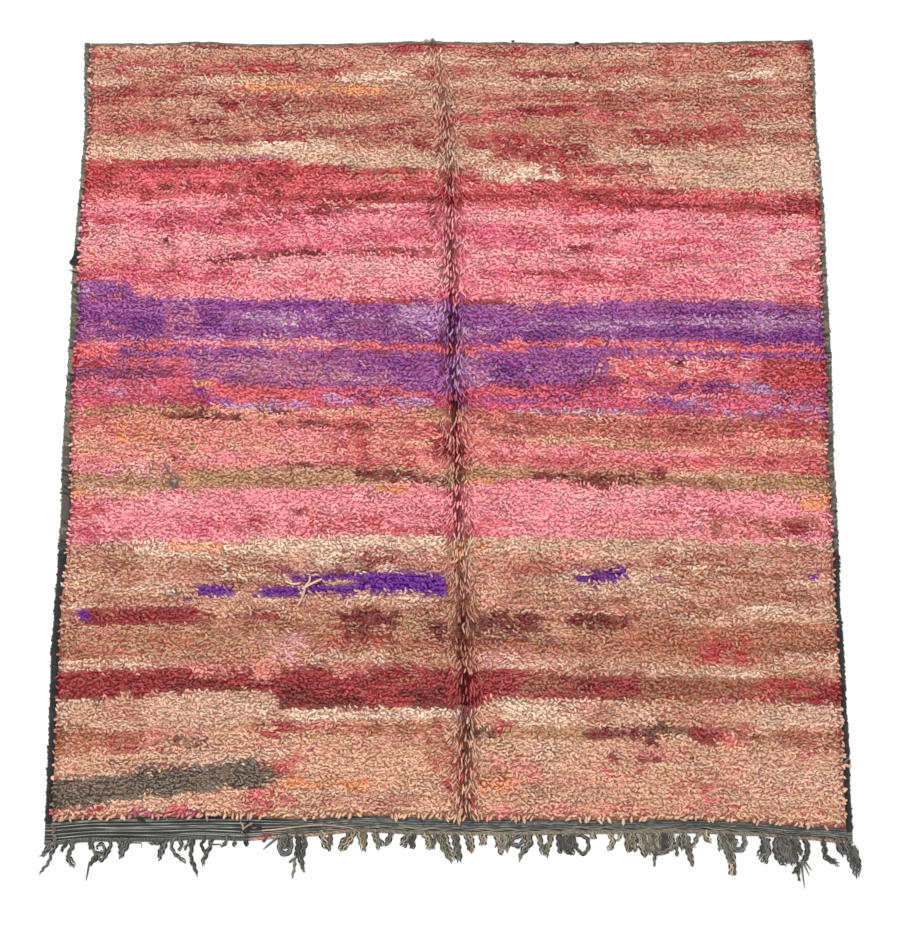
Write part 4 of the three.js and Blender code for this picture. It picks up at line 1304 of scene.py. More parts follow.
cords = {
    "wrapPitch": 5.0,
    "wrapThick": 3.5,
    "endGap": 2,
    "stray": 0.9,
    "wide": (0.88, 0.2),
    "high": (0.62, 0.24),
    "thick": (0.8, 0.5),
    "lean": 0.4,
    "strayLean": 0.22,
    "coreDrop": 1.6,
    "coreSteps": 120,
    "coreSides": 8,
    "overlap": 6,
    "blackFrom": -318,
    "blackSlant": 8,
    "toneNoise": (26, 98),
    "greyTone": (0.75, 0.7),
    "blackTone": 0.7,
    "darkShare": 0.14,
    "darkTone": 1.3,
    "turnTone": (0.7, 0.6),
    "seed": 91,
}

cordLook = {
    "roughness": 0.85,
    "specular": 0.25,
    "sheen": 0.2,
    "fibreScale": 700,
    "fibreTone": 0.3,
    "bump": 0.8,
}

# Where another yarn is wound round a side cord, -1 on the left and 1 on the right
sideWrapsOfNote = table(("side", "near", "far", "dye"), [
    (-1, 388, 432, "soot"), (-1, 372, 380, "fringeBeige"), (-1, -560, -545, "soot"),
    (-1, -168, -126, "bandDark"), (1, 480, 500, "fringeBeige"), (1, 300, 318, "soot"),
    (1, -835, -822, "terracotta"),
])


wrap = {"steps": 7, "sides": 4, "start": 0.02, "sweep": 0.96, "thick": 0.11, "upwards": 2.0}
wrapRises = (1.0, 1.06, 0.94)


# One turn of yarn over the cord, a unit wide and high. It rises at one side and goes down at the
# other.
def wrapMesh(name, rise):
    points = []
    for step in range(wrap["steps"]):
        angle = math.pi * (wrap["start"] + wrap["sweep"] * step / (wrap["steps"] - 1))
        centre = np.array([math.cos(angle) * 0.5, 0, math.sin(angle) * rise])
        outwards = np.array([math.cos(angle), 0, math.sin(angle)])
        for side in range(wrap["sides"]):
            turn = math.pi / 4 + side * math.pi / 2
            offset = outwards * math.cos(turn) * wrap["thick"] + np.array([0, 1, 0]) * math.sin(turn)
            points.append(centre + offset * np.array([1, 1, wrap["upwards"]]))
    mesh = meshFrom(name, points, tubeFaces(wrap["steps"], wrap["sides"]))
    smoothShade(mesh)
    return mesh


def cordColour(side, y, rng):
    tone = driftAlong(y, *cords["toneNoise"])[:, None]
    dark = (y < cords["blackFrom"] - cords["blackSlant"] * side)[:, None]
    black = linearDyes["goatBlack"] * (cords["blackTone"] + tone)
    colour = np.where(dark, black, linearDyes["goatGrey"] * ranged(cords["greyTone"], tone))
    for wrapping in sideWrapsOfNote:
        wound = (y > wrapping["near"]) & (y < wrapping["far"]) & (side == wrapping["side"])
        colour = np.where(wound[:, None], linearDyes[wrapping["dye"]], colour)
    chance = rng.random((len(y), 2))
    stray = chance[:, :1] < cords["darkShare"]
    colour = np.where(stray, linearDyes["goatBlack"] * cords["darkTone"], colour)
    return colour * ranged(cords["turnTone"], chance[:, 1:])


# The two edges of a side cord
def cordEdges(side, y):
    return outerEdge(side, y), innerEdge(side, y) + side * plan["gap"]


def sideWraps(side):
    rng = np.random.default_rng(cords["seed"] + side)
    near = nearPile(side * halfWidth) - cords["overlap"] + cords["endGap"]
    far = farEdge(side * halfWidth) - cords["endGap"]
    count = int((far - near + 2 * cords["endGap"]) / cords["wrapPitch"])
    y = near + (far - near) * (np.arange(count) + 0.5) / count + rng.normal(0, cords["stray"], count)
    outer, inner = cordEdges(side, y)
    wide = np.abs(outer - inner) * ranged(cords["wide"], rng.random(count))
    high = plan["sideCordHeight"] * ranged(cords["high"], rng.random(count))
    thick = cords["wrapThick"] * ranged(cords["thick"], rng.random(count))
    x = (outer + inner) / 2 + side * rng.normal(0, cords["stray"], count)
    lean = side * cords["lean"] + rng.normal(0, cords["strayLean"], count)
    points = np.stack([x, y, np.full(count, plan["gap"])], 1)
    poses = np.stack([np.zeros(count), np.zeros(count), lean], 1)
    sizes = np.stack([wide, thick, high], 1) * mm
    return points, poses, sizes, cordColour(side, y, rng)


# The plain core under the wraps, which closes what shows between them
def coreTube(side):
    near = nearPile(side * halfWidth) - cords["overlap"]
    y = np.linspace(near, farEdge(side * halfWidth) - 1, cords["coreSteps"])
    outer, inner = cordEdges(side, y)
    half = np.abs(outer - inner) / 2 - cords["coreDrop"]
    height = plan["sideCordHeight"] / 2
    path = np.stack([(outer + inner) / 2, y, np.full(len(y), height)], 1)
    points, faces = yarnTube(path, half, cords["coreSides"], (height - cords["coreDrop"]) / half.mean())
    dark = y < cords["blackFrom"]
    # The grey part of the core is painted at half brightness, as the shade that shows between the wraps
    colour = np.where(dark[:, None], linearDyes["goatBlack"], linearDyes["goatGrey"] * 0.5)
    return points, faces, np.repeat(colour, cords["coreSides"], axis=0)


cordYarn = woolMaterial("cordYarn", cordLook)
wraps = shapeCollection("wraps", [wrapMesh(f"wrap{n}", rise) for n, rise in enumerate(wrapRises)])
cordPieces = {}
for side, label in ((-1, "left"), (1, "right")):
    seeds = seedPoints("turns", *sideWraps(side))
    turns = grown(f"side_wraps_{label}", seeds, laying, {
        "Shapes": wraps,
        "Wool": cordYarn,
        "Kinds": len(wrapRises),
        "Seed": cords["seed"],
    })
    core = addObject(f"side_core_{label}", joinTubes(f"side_core_{label}", [coreTube(side)]))
    core.data.materials.append(cordYarn)
    cordPieces[label] = (turns, core)
print("sides overcast")

# Far edging


# Two plies twined round each other along a line of places, with a colour for each place
def twined(line, plyRadius, swing, pitch, sides, colourOf, flat=1.0, turn=0.0):
    run = runAlong(line)
    ahead = headings(line)
    across = np.stack([-ahead[:, 1], ahead[:, 0], np.zeros(len(line))], 1)
    swing = np.broadcast_to(swing, len(line))
    tubes = []
    for ply in range(2):
        angle = 2 * math.pi * run / pitch + math.pi * ply + turn
        path = line + across * (np.cos(angle) * swing)[:, None]
        path[:, 2] += np.sin(angle) * swing * flat
        points, faces = yarnTube(path, plyRadius, sides)
        tubes.append((points, faces, np.repeat(colourOf(path, ply), sides, axis=0)))
    return tubes


edging = {
    "y": 975,
    "steps": 520,
    "rows": (2.2, 6.2),
    "height": 2.6,
    "plyPitch": 13,
    "plyRadius": 1.8,
    "plySides": 5,
    "swing": 0.9,
    "lumpNoise": (17, 150),
    "lumpAside": 1.6,
    "lumpUp": 1.4,
    "swell": (0.8, 0.4),
    "toneNoise": (40, 140),
    "tone": (0.8, 0.4),
    "seed": 131,
}


def edgingColour(path, ply):
    rng = np.random.default_rng(edging["seed"] + ply)
    tone = driftAlong(path[:, 0], *edging["toneNoise"], ply)[:, None]
    base = linearDyes["goatGrey"] * (1 - tone) + linearDyes["ash"] * tone
    return base * ranged(edging["tone"], rng.random((len(path), 1)))


def edgingTubes():
    x = np.linspace(innerEdge(-1, edging["y"]) + 1, innerEdge(1, edging["y"]) - 1, edging["steps"])
    tubes = []
    for row, back in enumerate(edging["rows"]):
        lumps = driftAlong(x, *edging["lumpNoise"], row)
        y = farEdge(x) - back + edging["lumpAside"] * (lumps - 0.5)
        line = np.stack([x, y, edging["height"] + edging["lumpUp"] * lumps], 1)
        radius = edging["plyRadius"] * ranged(edging["swell"], lumps)
        tubes += twined(line, radius, edging["swing"], edging["plyPitch"], edging["plySides"],
                        edgingColour)
    return tubes


topEdging = addObject("far_edging", joinTubes("far_edging", edgingTubes()))
topEdging.data.materials.append(cordYarn)

# Flat-woven end band: heavy weft cords over a thin ground

band = {
    "y": -960,
    "cords": 8,
    "steps": 340,
    "sides": 4,
    "twist": 1500,
    "twistStep": 1.9,
    "flat": 0.3,
    "thick": 0.26,
    "plyThick": 0.25,
    "lift": 1.6,
    "wander": 2.0,
    "wanderNoise": (90, 151),
    "ripple": 0.9,
    "rippleNoise": (40, 201),
    "looseCords": 2,
    "looseFrom": (-330, -260),
    "looseWave": 1.3,
    "looseStep": 9,
    "looseNoise": (60, 241),
    "tone": (0.35, 1.15),
    "toneNoise": (21, 151),
    "speck": (0.2, 1.9),
    "speckNoise": (6, 181),
    "speckFrom": (-420, -340),
    "speckPlyLightAndShade": (0.55, 1.7),
    "baseSteps": 90,
    "baseRows": 4,
}

bandLook = {
    "roughness": 0.55,
    "specular": 0.45,
    "sheen": 0.1,
    "fibreScale": 800,
    "fibreTone": 0.25,
    "bump": 0.6,
}


def bandPlace(x, share):
    return (nearPile(x) - plan["gap"]) * (1 - share) + (nearBand(x) + plan["gap"]) * share


# The band's cords are glossy at the left, with one ply of each painted light as a highlight and the
# other painted dark as shade; at the right they are of speckled yarn, their plies again painted lighter
# and darker as highlight and shade, and two are loose there
def bandColour(cord):
    def colourOf(path, ply):
        x = path[:, 0]
        number = 10 * cord + ply
        tone = ranged(band["tone"], driftAlong(x, *band["toneNoise"], number)[:, None])
        speck = ranged(band["speck"], driftAlong(x, *band["speckNoise"], number)[:, None])
        woven = linearDyes["bandGrey"] * band["speckPlyLightAndShade"][ply] * speck
        if cord >= band["cords"] - band["looseCords"]:
            beige = smooth(*band["looseFrom"], x) * driftAlong(x, *band["looseNoise"], ply)
            beige = beige[:, None]
            woven = woven * (1 - beige) + linearDyes["fringeBeige"] * beige
        right = smooth(*band["speckFrom"], x)[:, None]
        return (linearDyes["bandLight" if ply else "bandDark"] * (1 - right) + woven * right) * tone
    return colourOf


def bandTubes():
    x = np.linspace(outerEdge(-1, band["y"]) + 2, outerEdge(1, band["y"]) - 2, band["steps"])
    pitch = (nearPile(x) - nearBand(x)) / band["cords"]
    tubes = []
    for cord in range(band["cords"]):
        y = bandPlace(x, (cord + 0.5) / band["cords"])
        y = y + (driftAlong(x, *band["wanderNoise"], cord) - 0.5) * band["wander"]
        ripple = (driftAlong(x, *band["rippleNoise"], cord) - 0.5) * band["ripple"]
        if cord >= band["cords"] - band["looseCords"]:
            wave = np.sin(x / band["looseStep"] + 2 * cord)
            y = y + smooth(*band["looseFrom"], x) * band["looseWave"] * wave
        swing = pitch * band["thick"]
        line = np.stack([x, y, band["lift"] + swing + ripple], 1)
        tubes += twined(line, pitch * band["plyThick"], swing, band["twist"], band["sides"],
                        bandColour(cord), band["flat"], cord * band["twistStep"])
    return tubes


# The thin ground under the cords, painted soot black as the shade that shows between them
def bandBase():
    x = np.linspace(outerEdge(-1, band["y"]) + 1, outerEdge(1, band["y"]) - 1, band["baseSteps"])
    columns = len(x)
    points = []
    for level in (band["lift"], plan["gap"]):
        for share in np.linspace(0, 1, band["baseRows"]):
            points.append(np.stack([x, bandPlace(x, share), np.full(columns, level)], 1))
    count = columns * band["baseRows"]
    faces = []
    for row in range(band["baseRows"] - 1):
        for column in range(columns - 1):
            a = row * columns + column
            faces.append((a, a + columns, a + columns + 1, a + 1))
            faces.append((count + a, count + a + 1, count + a + columns + 1, count + a + columns))
        a = row * columns
        b = a + columns - 1
        faces.append((a, count + a, count + a + columns, a + columns))
        faces.append((b, b + columns, count + b + columns, count + b))
    last = columns * (band["baseRows"] - 1)
    for column in range(columns - 1):
        faces.append((column, column + 1, count + column + 1, count + column))
        a = last + column
        faces.append((a, count + a, count + a + 1, a + 1))
    return np.vstack(points), faces, linearDyes["soot"]


bandYarn = woolMaterial("bandYarn", bandLook)
wovenBand = addObject("woven_band", joinTubes("woven_band", [bandBase(), *bandTubes()]))
wovenBand.data.materials.append(bandYarn)
print("band woven")

# Twined cord and tassels

view = {  # the camera that the rug's four corners give, in the rug's own millimetres
    "focalPixels": 1600,
    "imageSize": (900, 928),
    "sensor": 36.0,
    "distance": 3842,
    "tilt": math.radians(11.61),
    "roll": math.radians(-0.09),
    "target": (4, -109),
    "farthest": 50,
}


def cameraPlace():
    targetX, targetY = view["target"]
    back = view["distance"] * math.sin(view["tilt"])
    return Vector((targetX, targetY - back, view["distance"] * math.cos(view["tilt"])))


def cameraTurn():
    return Matrix.Rotation(view["tilt"], 3, "X") @ Matrix.Rotation(view["roll"], 3, "Z")


# The place on the floor, or at a height over it, that shows at a point of the photo
def photoPlace(across, down, height=0.0):
    wide, tall = view["imageSize"]
    ray = cameraTurn() @ Vector((across - wide / 2, tall / 2 - down, -view["focalPixels"]))
    eye = cameraPlace()
    place = eye + ray * (height - eye.z) / ray.z
    return place.x, place.y


fringe = {
    "cordY": -985,
    "cordSteps": 1000,
    "cordSides": 6,
    "cordPitch": 14.5,
    "cordRadius": 2.5,
    "cordSwing": 1.3,
    "cordFlat": 0.8,
    "cordHeight": 3.6,
    "cordTone": (0.6, 0.4),
    "darkPly": 0.55,
    "darkFrom": (-460, -430),
    "millimetresPerPixel": 2.28,
    "height": 4.0,
    "step": 3.6,
    "sides": 4,
    "ropeTone": (0.85, 0.3),
    "strandPitch": 4.5,
    "strandRadius": 2.0,
    "strandSwell": (0.85, 0.3),
    "strandTone": (0.4, 1.15),
    "fleckNoise": (9, 9, 177),
    "fleckTone": (0.6, 0.8),
    "lowerLayerShade": 0.25,
    "thinnest": 0.8,
    "taper": 0.55,
    "shorter": 0.25,
    "spread": 0.3,
    "layer": 3.0,
    "lift": 0.6,
    "wave": 1.9,
    "waveTurn": (0.28, 0.2),
    "seed": 171,
}

# The tassels as ropes of yarn: their course in the photo's points, half width there in the same
# measure, dye, and how far the ends fray apart. A rope that doesn't fray is a single yarn.
ropes = table(("course", "half", "dye", "fray"), [
    (((54, 838), (55, 846), (51.5, 853), (48.5, 862), (43, 869), (38, 876)),
     (4, 4, 2.4, 1.9, 1.6, 0.8), "dark", 0.5),
    (((57, 840), (50, 846), (44, 853), (38.5, 858)), (4, 3.4, 3, 2), "dark", 1.2),
    (((74, 838), (71.5, 848), (68, 856), (71, 862), (75, 870)), (4.4, 3, 2.6, 4, 1.2), "dark", 0.8),
    (((68, 840), (63, 848), (60, 853.5)), (3, 2.4, 2.2), "dark", 1.4),
    (((90, 838), (89.5, 846), (88.5, 852)), (2.4, 1.8, 0.9), "dark", 0.6),
    (((93, 839), (92, 846), (95, 853), (101, 855), (105, 850), (102, 844), (97, 846), (98, 851)),
     (3, 2.6, 2.4, 2.4, 2.4, 2.2, 2, 1.4), "dark", 0.3),
    (((97, 851), (95, 858), (88, 866)), (3, 3.8, 2.2), "dark", 0.9),
    (((89, 864), (87.5, 872), (85.7, 881)), (1.1, 0.9, 0.6), "dark", 0),
    (((110.5, 838), (110, 847), (106, 855), (101, 860.5), (98.5, 856), (103, 849)),
     (3.4, 3, 3, 2.8, 2, 1.6), "dark", 0.3),
    (((119, 838), (121, 846), (121, 854), (117.5, 860)), (4, 4, 3, 1.4), "dark", 1.3),
    (((131, 839), (126, 847), (122, 854), (122, 861)), (3.4, 4, 2.6, 1.4), "dark", 1.3),
    (((124, 842), (134, 843), (141, 843.5), (141, 848.5)), (0.8, 0.6, 0.6, 0.5), "dark", 0),
    (((166, 840), (156, 842.5), (147, 844)), (3.4, 3.4, 2), "dark", 1),
    (((165, 840), (162.5, 848), (159.5, 856), (157.8, 863)), (5, 4.6, 3, 1), "dark", 0.8),
    (((177, 837), (171.5, 843), (172.5, 850), (176, 855), (181.5, 859), (187, 864)),
     (3, 2.6, 2.6, 2.8, 3, 2.6), "dark", 0.3),
    (((180, 838), (181, 846), (177.5, 852)), (3, 2.8, 2.4), "dark", 0.3),
    (((192, 838), (187, 845), (182.5, 851.5)), (3, 2.6, 1.4), "dark", 0.8),
    (((193.5, 838), (191.5, 848), (190.7, 856), (193, 864), (195.5, 870), (198, 878.5)),
     (4, 3.4, 2.6, 3.6, 2.4, 0.7), "dark", 0.4),
    (((206, 837), (201.5, 844), (203, 850), (206.5, 853)), (2.6, 2.4, 2.4, 2.4), "dark", 0.3),
    (((211.5, 838), (210, 846), (206.5, 853), (203.3, 861), (203.5, 868)),
     (3.4, 3.2, 3.8, 3, 1), "dark", 0.5),
    (((211, 844), (216, 844.6), (220, 844.3), (221.5, 848)), (0.9, 0.7, 0.7, 0.5), "dark", 0),
    (((228.5, 835), (225, 843), (220.5, 848.5)), (2.6, 2, 1), "dark", 1),
    (((234, 836), (234.5, 843), (234, 849)), (3.4, 2.6, 2), "dark", 1.3),
    (((247, 836), (246.5, 843), (247.5, 848)), (3.4, 3, 2.6), "black", 1.5),
    (((271, 834), (263, 835.5), (254, 837)), (1.2, 1.2, 1), "red", 0),
    (((269, 834), (265, 839), (261.5, 843)), (1.8, 1.8, 2.2), "red", 0.3),
    (((281, 835), (272, 842), (263, 849.5)), (1.2, 1.1, 0.8), "ash", 0),
    (((292, 835), (284, 836.5), (280, 842), (280, 850), (284, 854), (289, 852), (291, 845),
      (291, 838)),
     (3.2, 3.2, 3.6, 3.6, 3.6, 3.4, 3.2, 3), "dark", 0.1),
    (((297, 834), (298.5, 842), (297.5, 851), (296, 860)), (4, 4, 4, 3.6), "dark", 0.3),
    (((303, 834), (304.5, 843), (302.5, 852), (301, 860), (305, 874)),
     (4, 4, 4, 3.6, 1), "dark", 0.5),
    (((295, 858), (289, 862.5)), (1.4, 0.9), "dark", 0.5),
    (((294.5, 859), (294.3, 868), (291.3, 880)), (1.8, 1.4, 0.8), "dark", 0.5),
    (((321.5, 830), (323, 838), (326.5, 846), (328.5, 853.5)), (4, 4.6, 4.6, 2), "olive", 1.2),
    (((331, 831), (330, 840), (331, 849)), (3, 3.4, 3), "olive", 1.2),
    (((353, 830), (349, 838.5), (342.5, 845.5), (336.5, 850)), (5, 6, 5.4, 3), "beige", 1.2),
    (((361.5, 831), (363, 842), (363.2, 853.8)), (7, 5.4, 1.6), "beige", 0.8),
    (((374, 833), (378.5, 842), (382.5, 850)), (4, 4.6, 4.4), "ash", 1.3),
    (((391.5, 833), (388.5, 840), (385, 848)), (4, 3.8, 3), "dark", 1),
    (((411.5, 832), (406, 839.5), (401, 848)), (5, 5, 3.4), "ash", 1.2),
    (((413, 834), (412.5, 842), (411.5, 850.5)), (4.4, 4, 3), "dark", 1.1),
    (((424, 833), (430, 841), (427, 851.5)), (4.4, 5, 3.6), "beige", 1.1),
    (((436, 833), (434, 842), (432.5, 851)), (3, 3, 2.2), "olive", 0.9),
    (((442, 834), (446, 848), (455, 864)), (7, 6, 2.6), "olive", 0.8),
    (((455, 835), (457.5, 850), (460, 864.5)), (5, 4.6, 2.4), "ash", 0.8),
    (((468.5, 835), (470.5, 845), (471.6, 855.5)), (6, 5, 1.6), "olive", 0.9),
    (((483, 834), (483, 841), (481.5, 848)), (5, 4.4, 3), "olive", 1),
    (((496.5, 834), (499.5, 843.5), (501.6, 857)), (4, 4.6, 1.8), "olive", 0.9),
    (((507, 834), (508, 842), (505.5, 850)), (3.4, 3.4, 2.4), "dark", 0.9),
    (((510, 835), (512, 842), (518, 845), (523, 840), (520, 834), (514, 836), (516, 842)),
     (2.4, 2.4, 2.4, 2.4, 2.4, 2, 2), "dark", 0.2),
    (((523, 836), (515, 838), (511, 843), (518, 847), (522, 843)),
     (2.2, 2.2, 2.2, 2.2, 2), "dark", 0.2),
    (((528.5, 833), (529, 843), (524, 850), (520.2, 857), (520, 864)),
     (5.4, 5.4, 4.4, 1.8, 0.9), "olive", 0.6),
    (((539, 834), (540.5, 843), (543, 851), (541, 857)), (3.8, 3.6, 4, 3), "olive", 1.1),
    (((551.5, 834), (549.5, 843), (546, 851), (548.5, 859.5)), (4.2, 3.8, 4, 2.4), "olive", 1.1),
    (((559, 834), (561.5, 843), (568, 850), (575.5, 856)), (3.4, 4.2, 4.6, 3), "dark", 0.8),
    (((573, 835), (580, 835), (587, 839), (588.5, 848), (583, 854), (577.5, 849), (576, 842)),
     (3, 3, 3, 2.8, 2.8, 2.4, 2), "dark", 0.2),
    (((570, 835), (571, 843), (568, 852)), (4.4, 4.4, 3.6), "dark", 0.5),
    (((592.5, 832), (593, 836), (593, 839)), (5, 4.4, 3.6), "olive", 1),
    (((609, 832), (613, 841), (610, 848), (607.5, 853.5)), (3.4, 3.6, 3.4, 2.2), "beige", 0.8),
    (((621, 833), (619.5, 837), (617.5, 841)), (2.4, 2.2, 1.6), "beige", 1),
    (((631, 833), (629, 845), (631.5, 856.5)), (4.6, 4.6, 2), "olive", 0.8),
    (((640, 835), (643.5, 848), (645.3, 859.5)), (4.4, 4.6, 2), "ash", 0.8),
    (((649, 834), (651.5, 846), (659, 853), (670, 848.5), (678, 843), (677, 834)),
     (3, 3.2, 3.2, 3.2, 3.2, 3), "olive", 0.2),
    (((657, 836), (661, 844.5), (668.5, 843.5), (672, 835)), (2.6, 2.6, 2.6, 2.6), "dark", 0.2),
    (((655, 851), (654.5, 860), (654, 868.5)), (3, 2, 0.9), "dark", 0.4),
    (((666, 833), (665, 844), (666, 853)), (10, 10, 8), "ash", 1),
    (((683, 834), (684, 845), (685, 853)), (5, 5, 3.4), "ash", 1),
    (((654, 833), (655, 843), (655, 852)), (6, 6, 5), "olive", 1),
    (((700, 832), (696, 840), (692, 850)), (3.4, 3.4, 2), "olive", 1),
    (((794, 836), (798, 848), (800, 858)), (5, 4.4, 3.4), "dark", 0.9),
    (((843, 838), (846, 848), (851, 858)), (5, 5, 4), "dark", 0.9),
    (((286, 834), (287, 839), (288, 842)), (7, 6, 5), "dark", 0.8),
    (((641, 834), (645, 845), (648, 855)), (7, 7, 5), "olive", 1),
    (((780, 836), (780.5, 848), (784, 861)), (6, 8, 5), "dark", 0.8),
    (((568, 836), (572, 846), (576, 853)), (7, 7, 5), "dark", 0.9),
    (((727, 834), (731, 842), (737, 848)), (6, 7, 5), "ash", 0.9),
    (((630, 833), (631, 844), (632, 854)), (7, 7, 5), "olive", 1),
    (((661, 835), (662, 846), (664, 856)), (12, 12, 8), "dark", 0.7),
    (((648, 834), (648, 846), (650, 857)), (8, 9, 7), "dark", 0.7),
    (((782, 838), (785, 852), (788, 866)), (7, 7, 5), "dark", 0.7),
    (((791, 845), (793, 856), (795, 868)), (6, 6, 4.5), "dark", 0.8),
    (((852, 846), (855, 858), (858, 870)), (5.5, 6, 4), "dark", 0.8),
    (((766, 838), (765, 848), (761, 860)), (5, 6, 6), "dark", 1),
    (((283, 835), (285, 843), (286, 851)), (6, 6, 4), "dark", 0.6),
    (((502, 834), (503, 843), (501, 853)), (8, 8, 6), "olive", 0.9),
    (((723, 836), (725, 845), (726, 852)), (7, 7, 6), "ash", 0.8),
    (((562, 836), (564, 846), (566, 854)), (7, 8, 6), "dark", 0.8),
    (((676.5, 847), (677, 853), (677.5, 858.5)), (2.8, 2.2, 1.2), "olive", 0.6),
    (((687.5, 836), (688, 847), (690.5, 857), (693.5, 868.5)), (3.8, 4.8, 4, 0.9), "olive", 0.5),
    (((691, 847), (697, 847.3)), (0.8, 0.5), "olive", 0),
    (((701.5, 831), (699, 836), (696.7, 840)), (2, 1.6, 1), "olive", 0.6),
    (((704.5, 830), (706.5, 837), (713, 844)), (4, 4.6, 1.8), "beige", 0.8),
    (((721.5, 834), (725.5, 843.5), (730.5, 855), (732.3, 866)), (5, 5.8, 5.8, 4.4), "ash", 0.3),
    (((732.3, 864), (732.6, 870), (732.3, 877)), (4.6, 4.8, 4.4), "beige", 0.3),
    (((720, 842), (719.5, 848), (719.6, 853.5)), (3, 2.2, 1.2), "ash", 0.8),
    (((731, 841), (735.5, 849), (741.5, 849.5), (745, 842), (743, 834)),
     (3.6, 3.8, 3.6, 3.4, 3.2), "ash", 0.2),
    (((758.5, 832), (765, 841), (767.5, 852), (762, 860), (757.5, 864)),
     (3.2, 3.8, 4.4, 4.6, 3.6), "dark", 1.1),
    (((767.5, 852), (765.5, 860), (763, 866.5)), (3.4, 3.4, 2.6), "dark", 1.1),
    (((778.5, 835), (774.5, 844), (775.5, 855), (782, 863), (789, 865)),
     (2.8, 2.8, 2.8, 3, 3), "dark", 0.6),
    (((781.5, 836), (783, 848), (787, 858), (790, 864.5)), (3.2, 3.4, 3.6, 3), "dark", 0.5),
    (((786.5, 835), (790.8, 845), (791.5, 855), (797, 863)), (3.4, 3.4, 3.2, 3.4), "dark", 0.3),
    (((803, 835), (807.5, 846), (806.5, 856), (801.5, 864)), (3.8, 3.8, 3.6, 3.6), "dark", 0.3),
    (((800, 862), (797, 869), (791, 874.5)), (3.6, 3, 1.4), "dark", 1),
    (((799.5, 862), (798.5, 872), (799.5, 883)), (2.8, 2, 0.7), "ash", 0.5),
    (((801.5, 862), (803, 874), (805, 889)), (1.4, 0.9, 0.5), "dark", 0),
    (((803, 861), (806.5, 869), (810, 876.5)), (1.2, 0.8, 0.5), "dark", 0),
    (((804, 860), (808.5, 866), (812, 871)), (1.1, 0.8, 0.5), "dark", 0),
    (((822.5, 836), (824.5, 847), (826, 857), (834, 861.5), (842, 866.5)),
     (3.4, 3.4, 3.6, 3.6, 2.4), "dark", 0.7),
    (((836.5, 838), (840, 849), (846.5, 857)), (3.4, 3.8, 3.4), "dark", 0.5),
    (((847.5, 840), (849, 851), (854.5, 864), (860, 880)), (4, 5, 6, 3), "dark", 0.7),
    (((850, 850), (857, 859), (862, 871)), (2.6, 2.8, 1.2), "dark", 0.6),
])

ropeDyes = {
    "dark": "fringeDark",
    "black": "goatBlack",
    "olive": "fringeOlive",
    "beige": "fringeBeige",
    "ash": "ash",
    "red": "roseRed",
}


twineShades = table(("x", "dye"), [  # the twined cord from left to right
    (-925, "fringeDark"), (-470, "fringeDark"), (-440, "sand"), (-260, "tan"), (-200, "fringeOlive"),
    (100, "fringeBeige"), (600, "fringeOlive"), (800, "fringeBeige"), (900, "tan"),
])


def cordTone(path, ply):
    x = path[:, 0]
    rng = np.random.default_rng(fringe["seed"] + ply)
    places = [shade["x"] for shade in twineShades]
    shades = np.array([linearDyes[shade["dye"]] for shade in twineShades])
    colour = np.stack([np.interp(x, places, shades[:, channel]) for channel in range(3)], 1)
    share = fringe["darkPly"] * ply * smooth(*fringe["darkFrom"], x)[:, None]
    colour = colour * (1 - share) + linearDyes["goatGrey"] * 0.8 * share
    return colour * ranged(fringe["cordTone"], rng.random((len(x), 1)))


# A smooth course through a few places, with a value at each that goes along with it
def smoothCourse(places, values, step):
    data = np.column_stack([places, values]).astype(float)
    data = np.vstack([2 * data[0] - data[1], data, 2 * data[-1] - data[-2]])
    course = []
    for a, b, c, d in zip(data, data[1:], data[2:], data[3:]):
        count = max(2, int(np.linalg.norm((c - b)[:2]) / step))
        for t in np.arange(count) / count:
            bend = 2 * b + (c - a) * t + (2 * a - 5 * b + 4 * c - d) * t ** 2
            course.append((bend + (3 * b - a - 3 * c + d) * t ** 3) / 2)
    course.append(data[-2])
    return np.array(course)


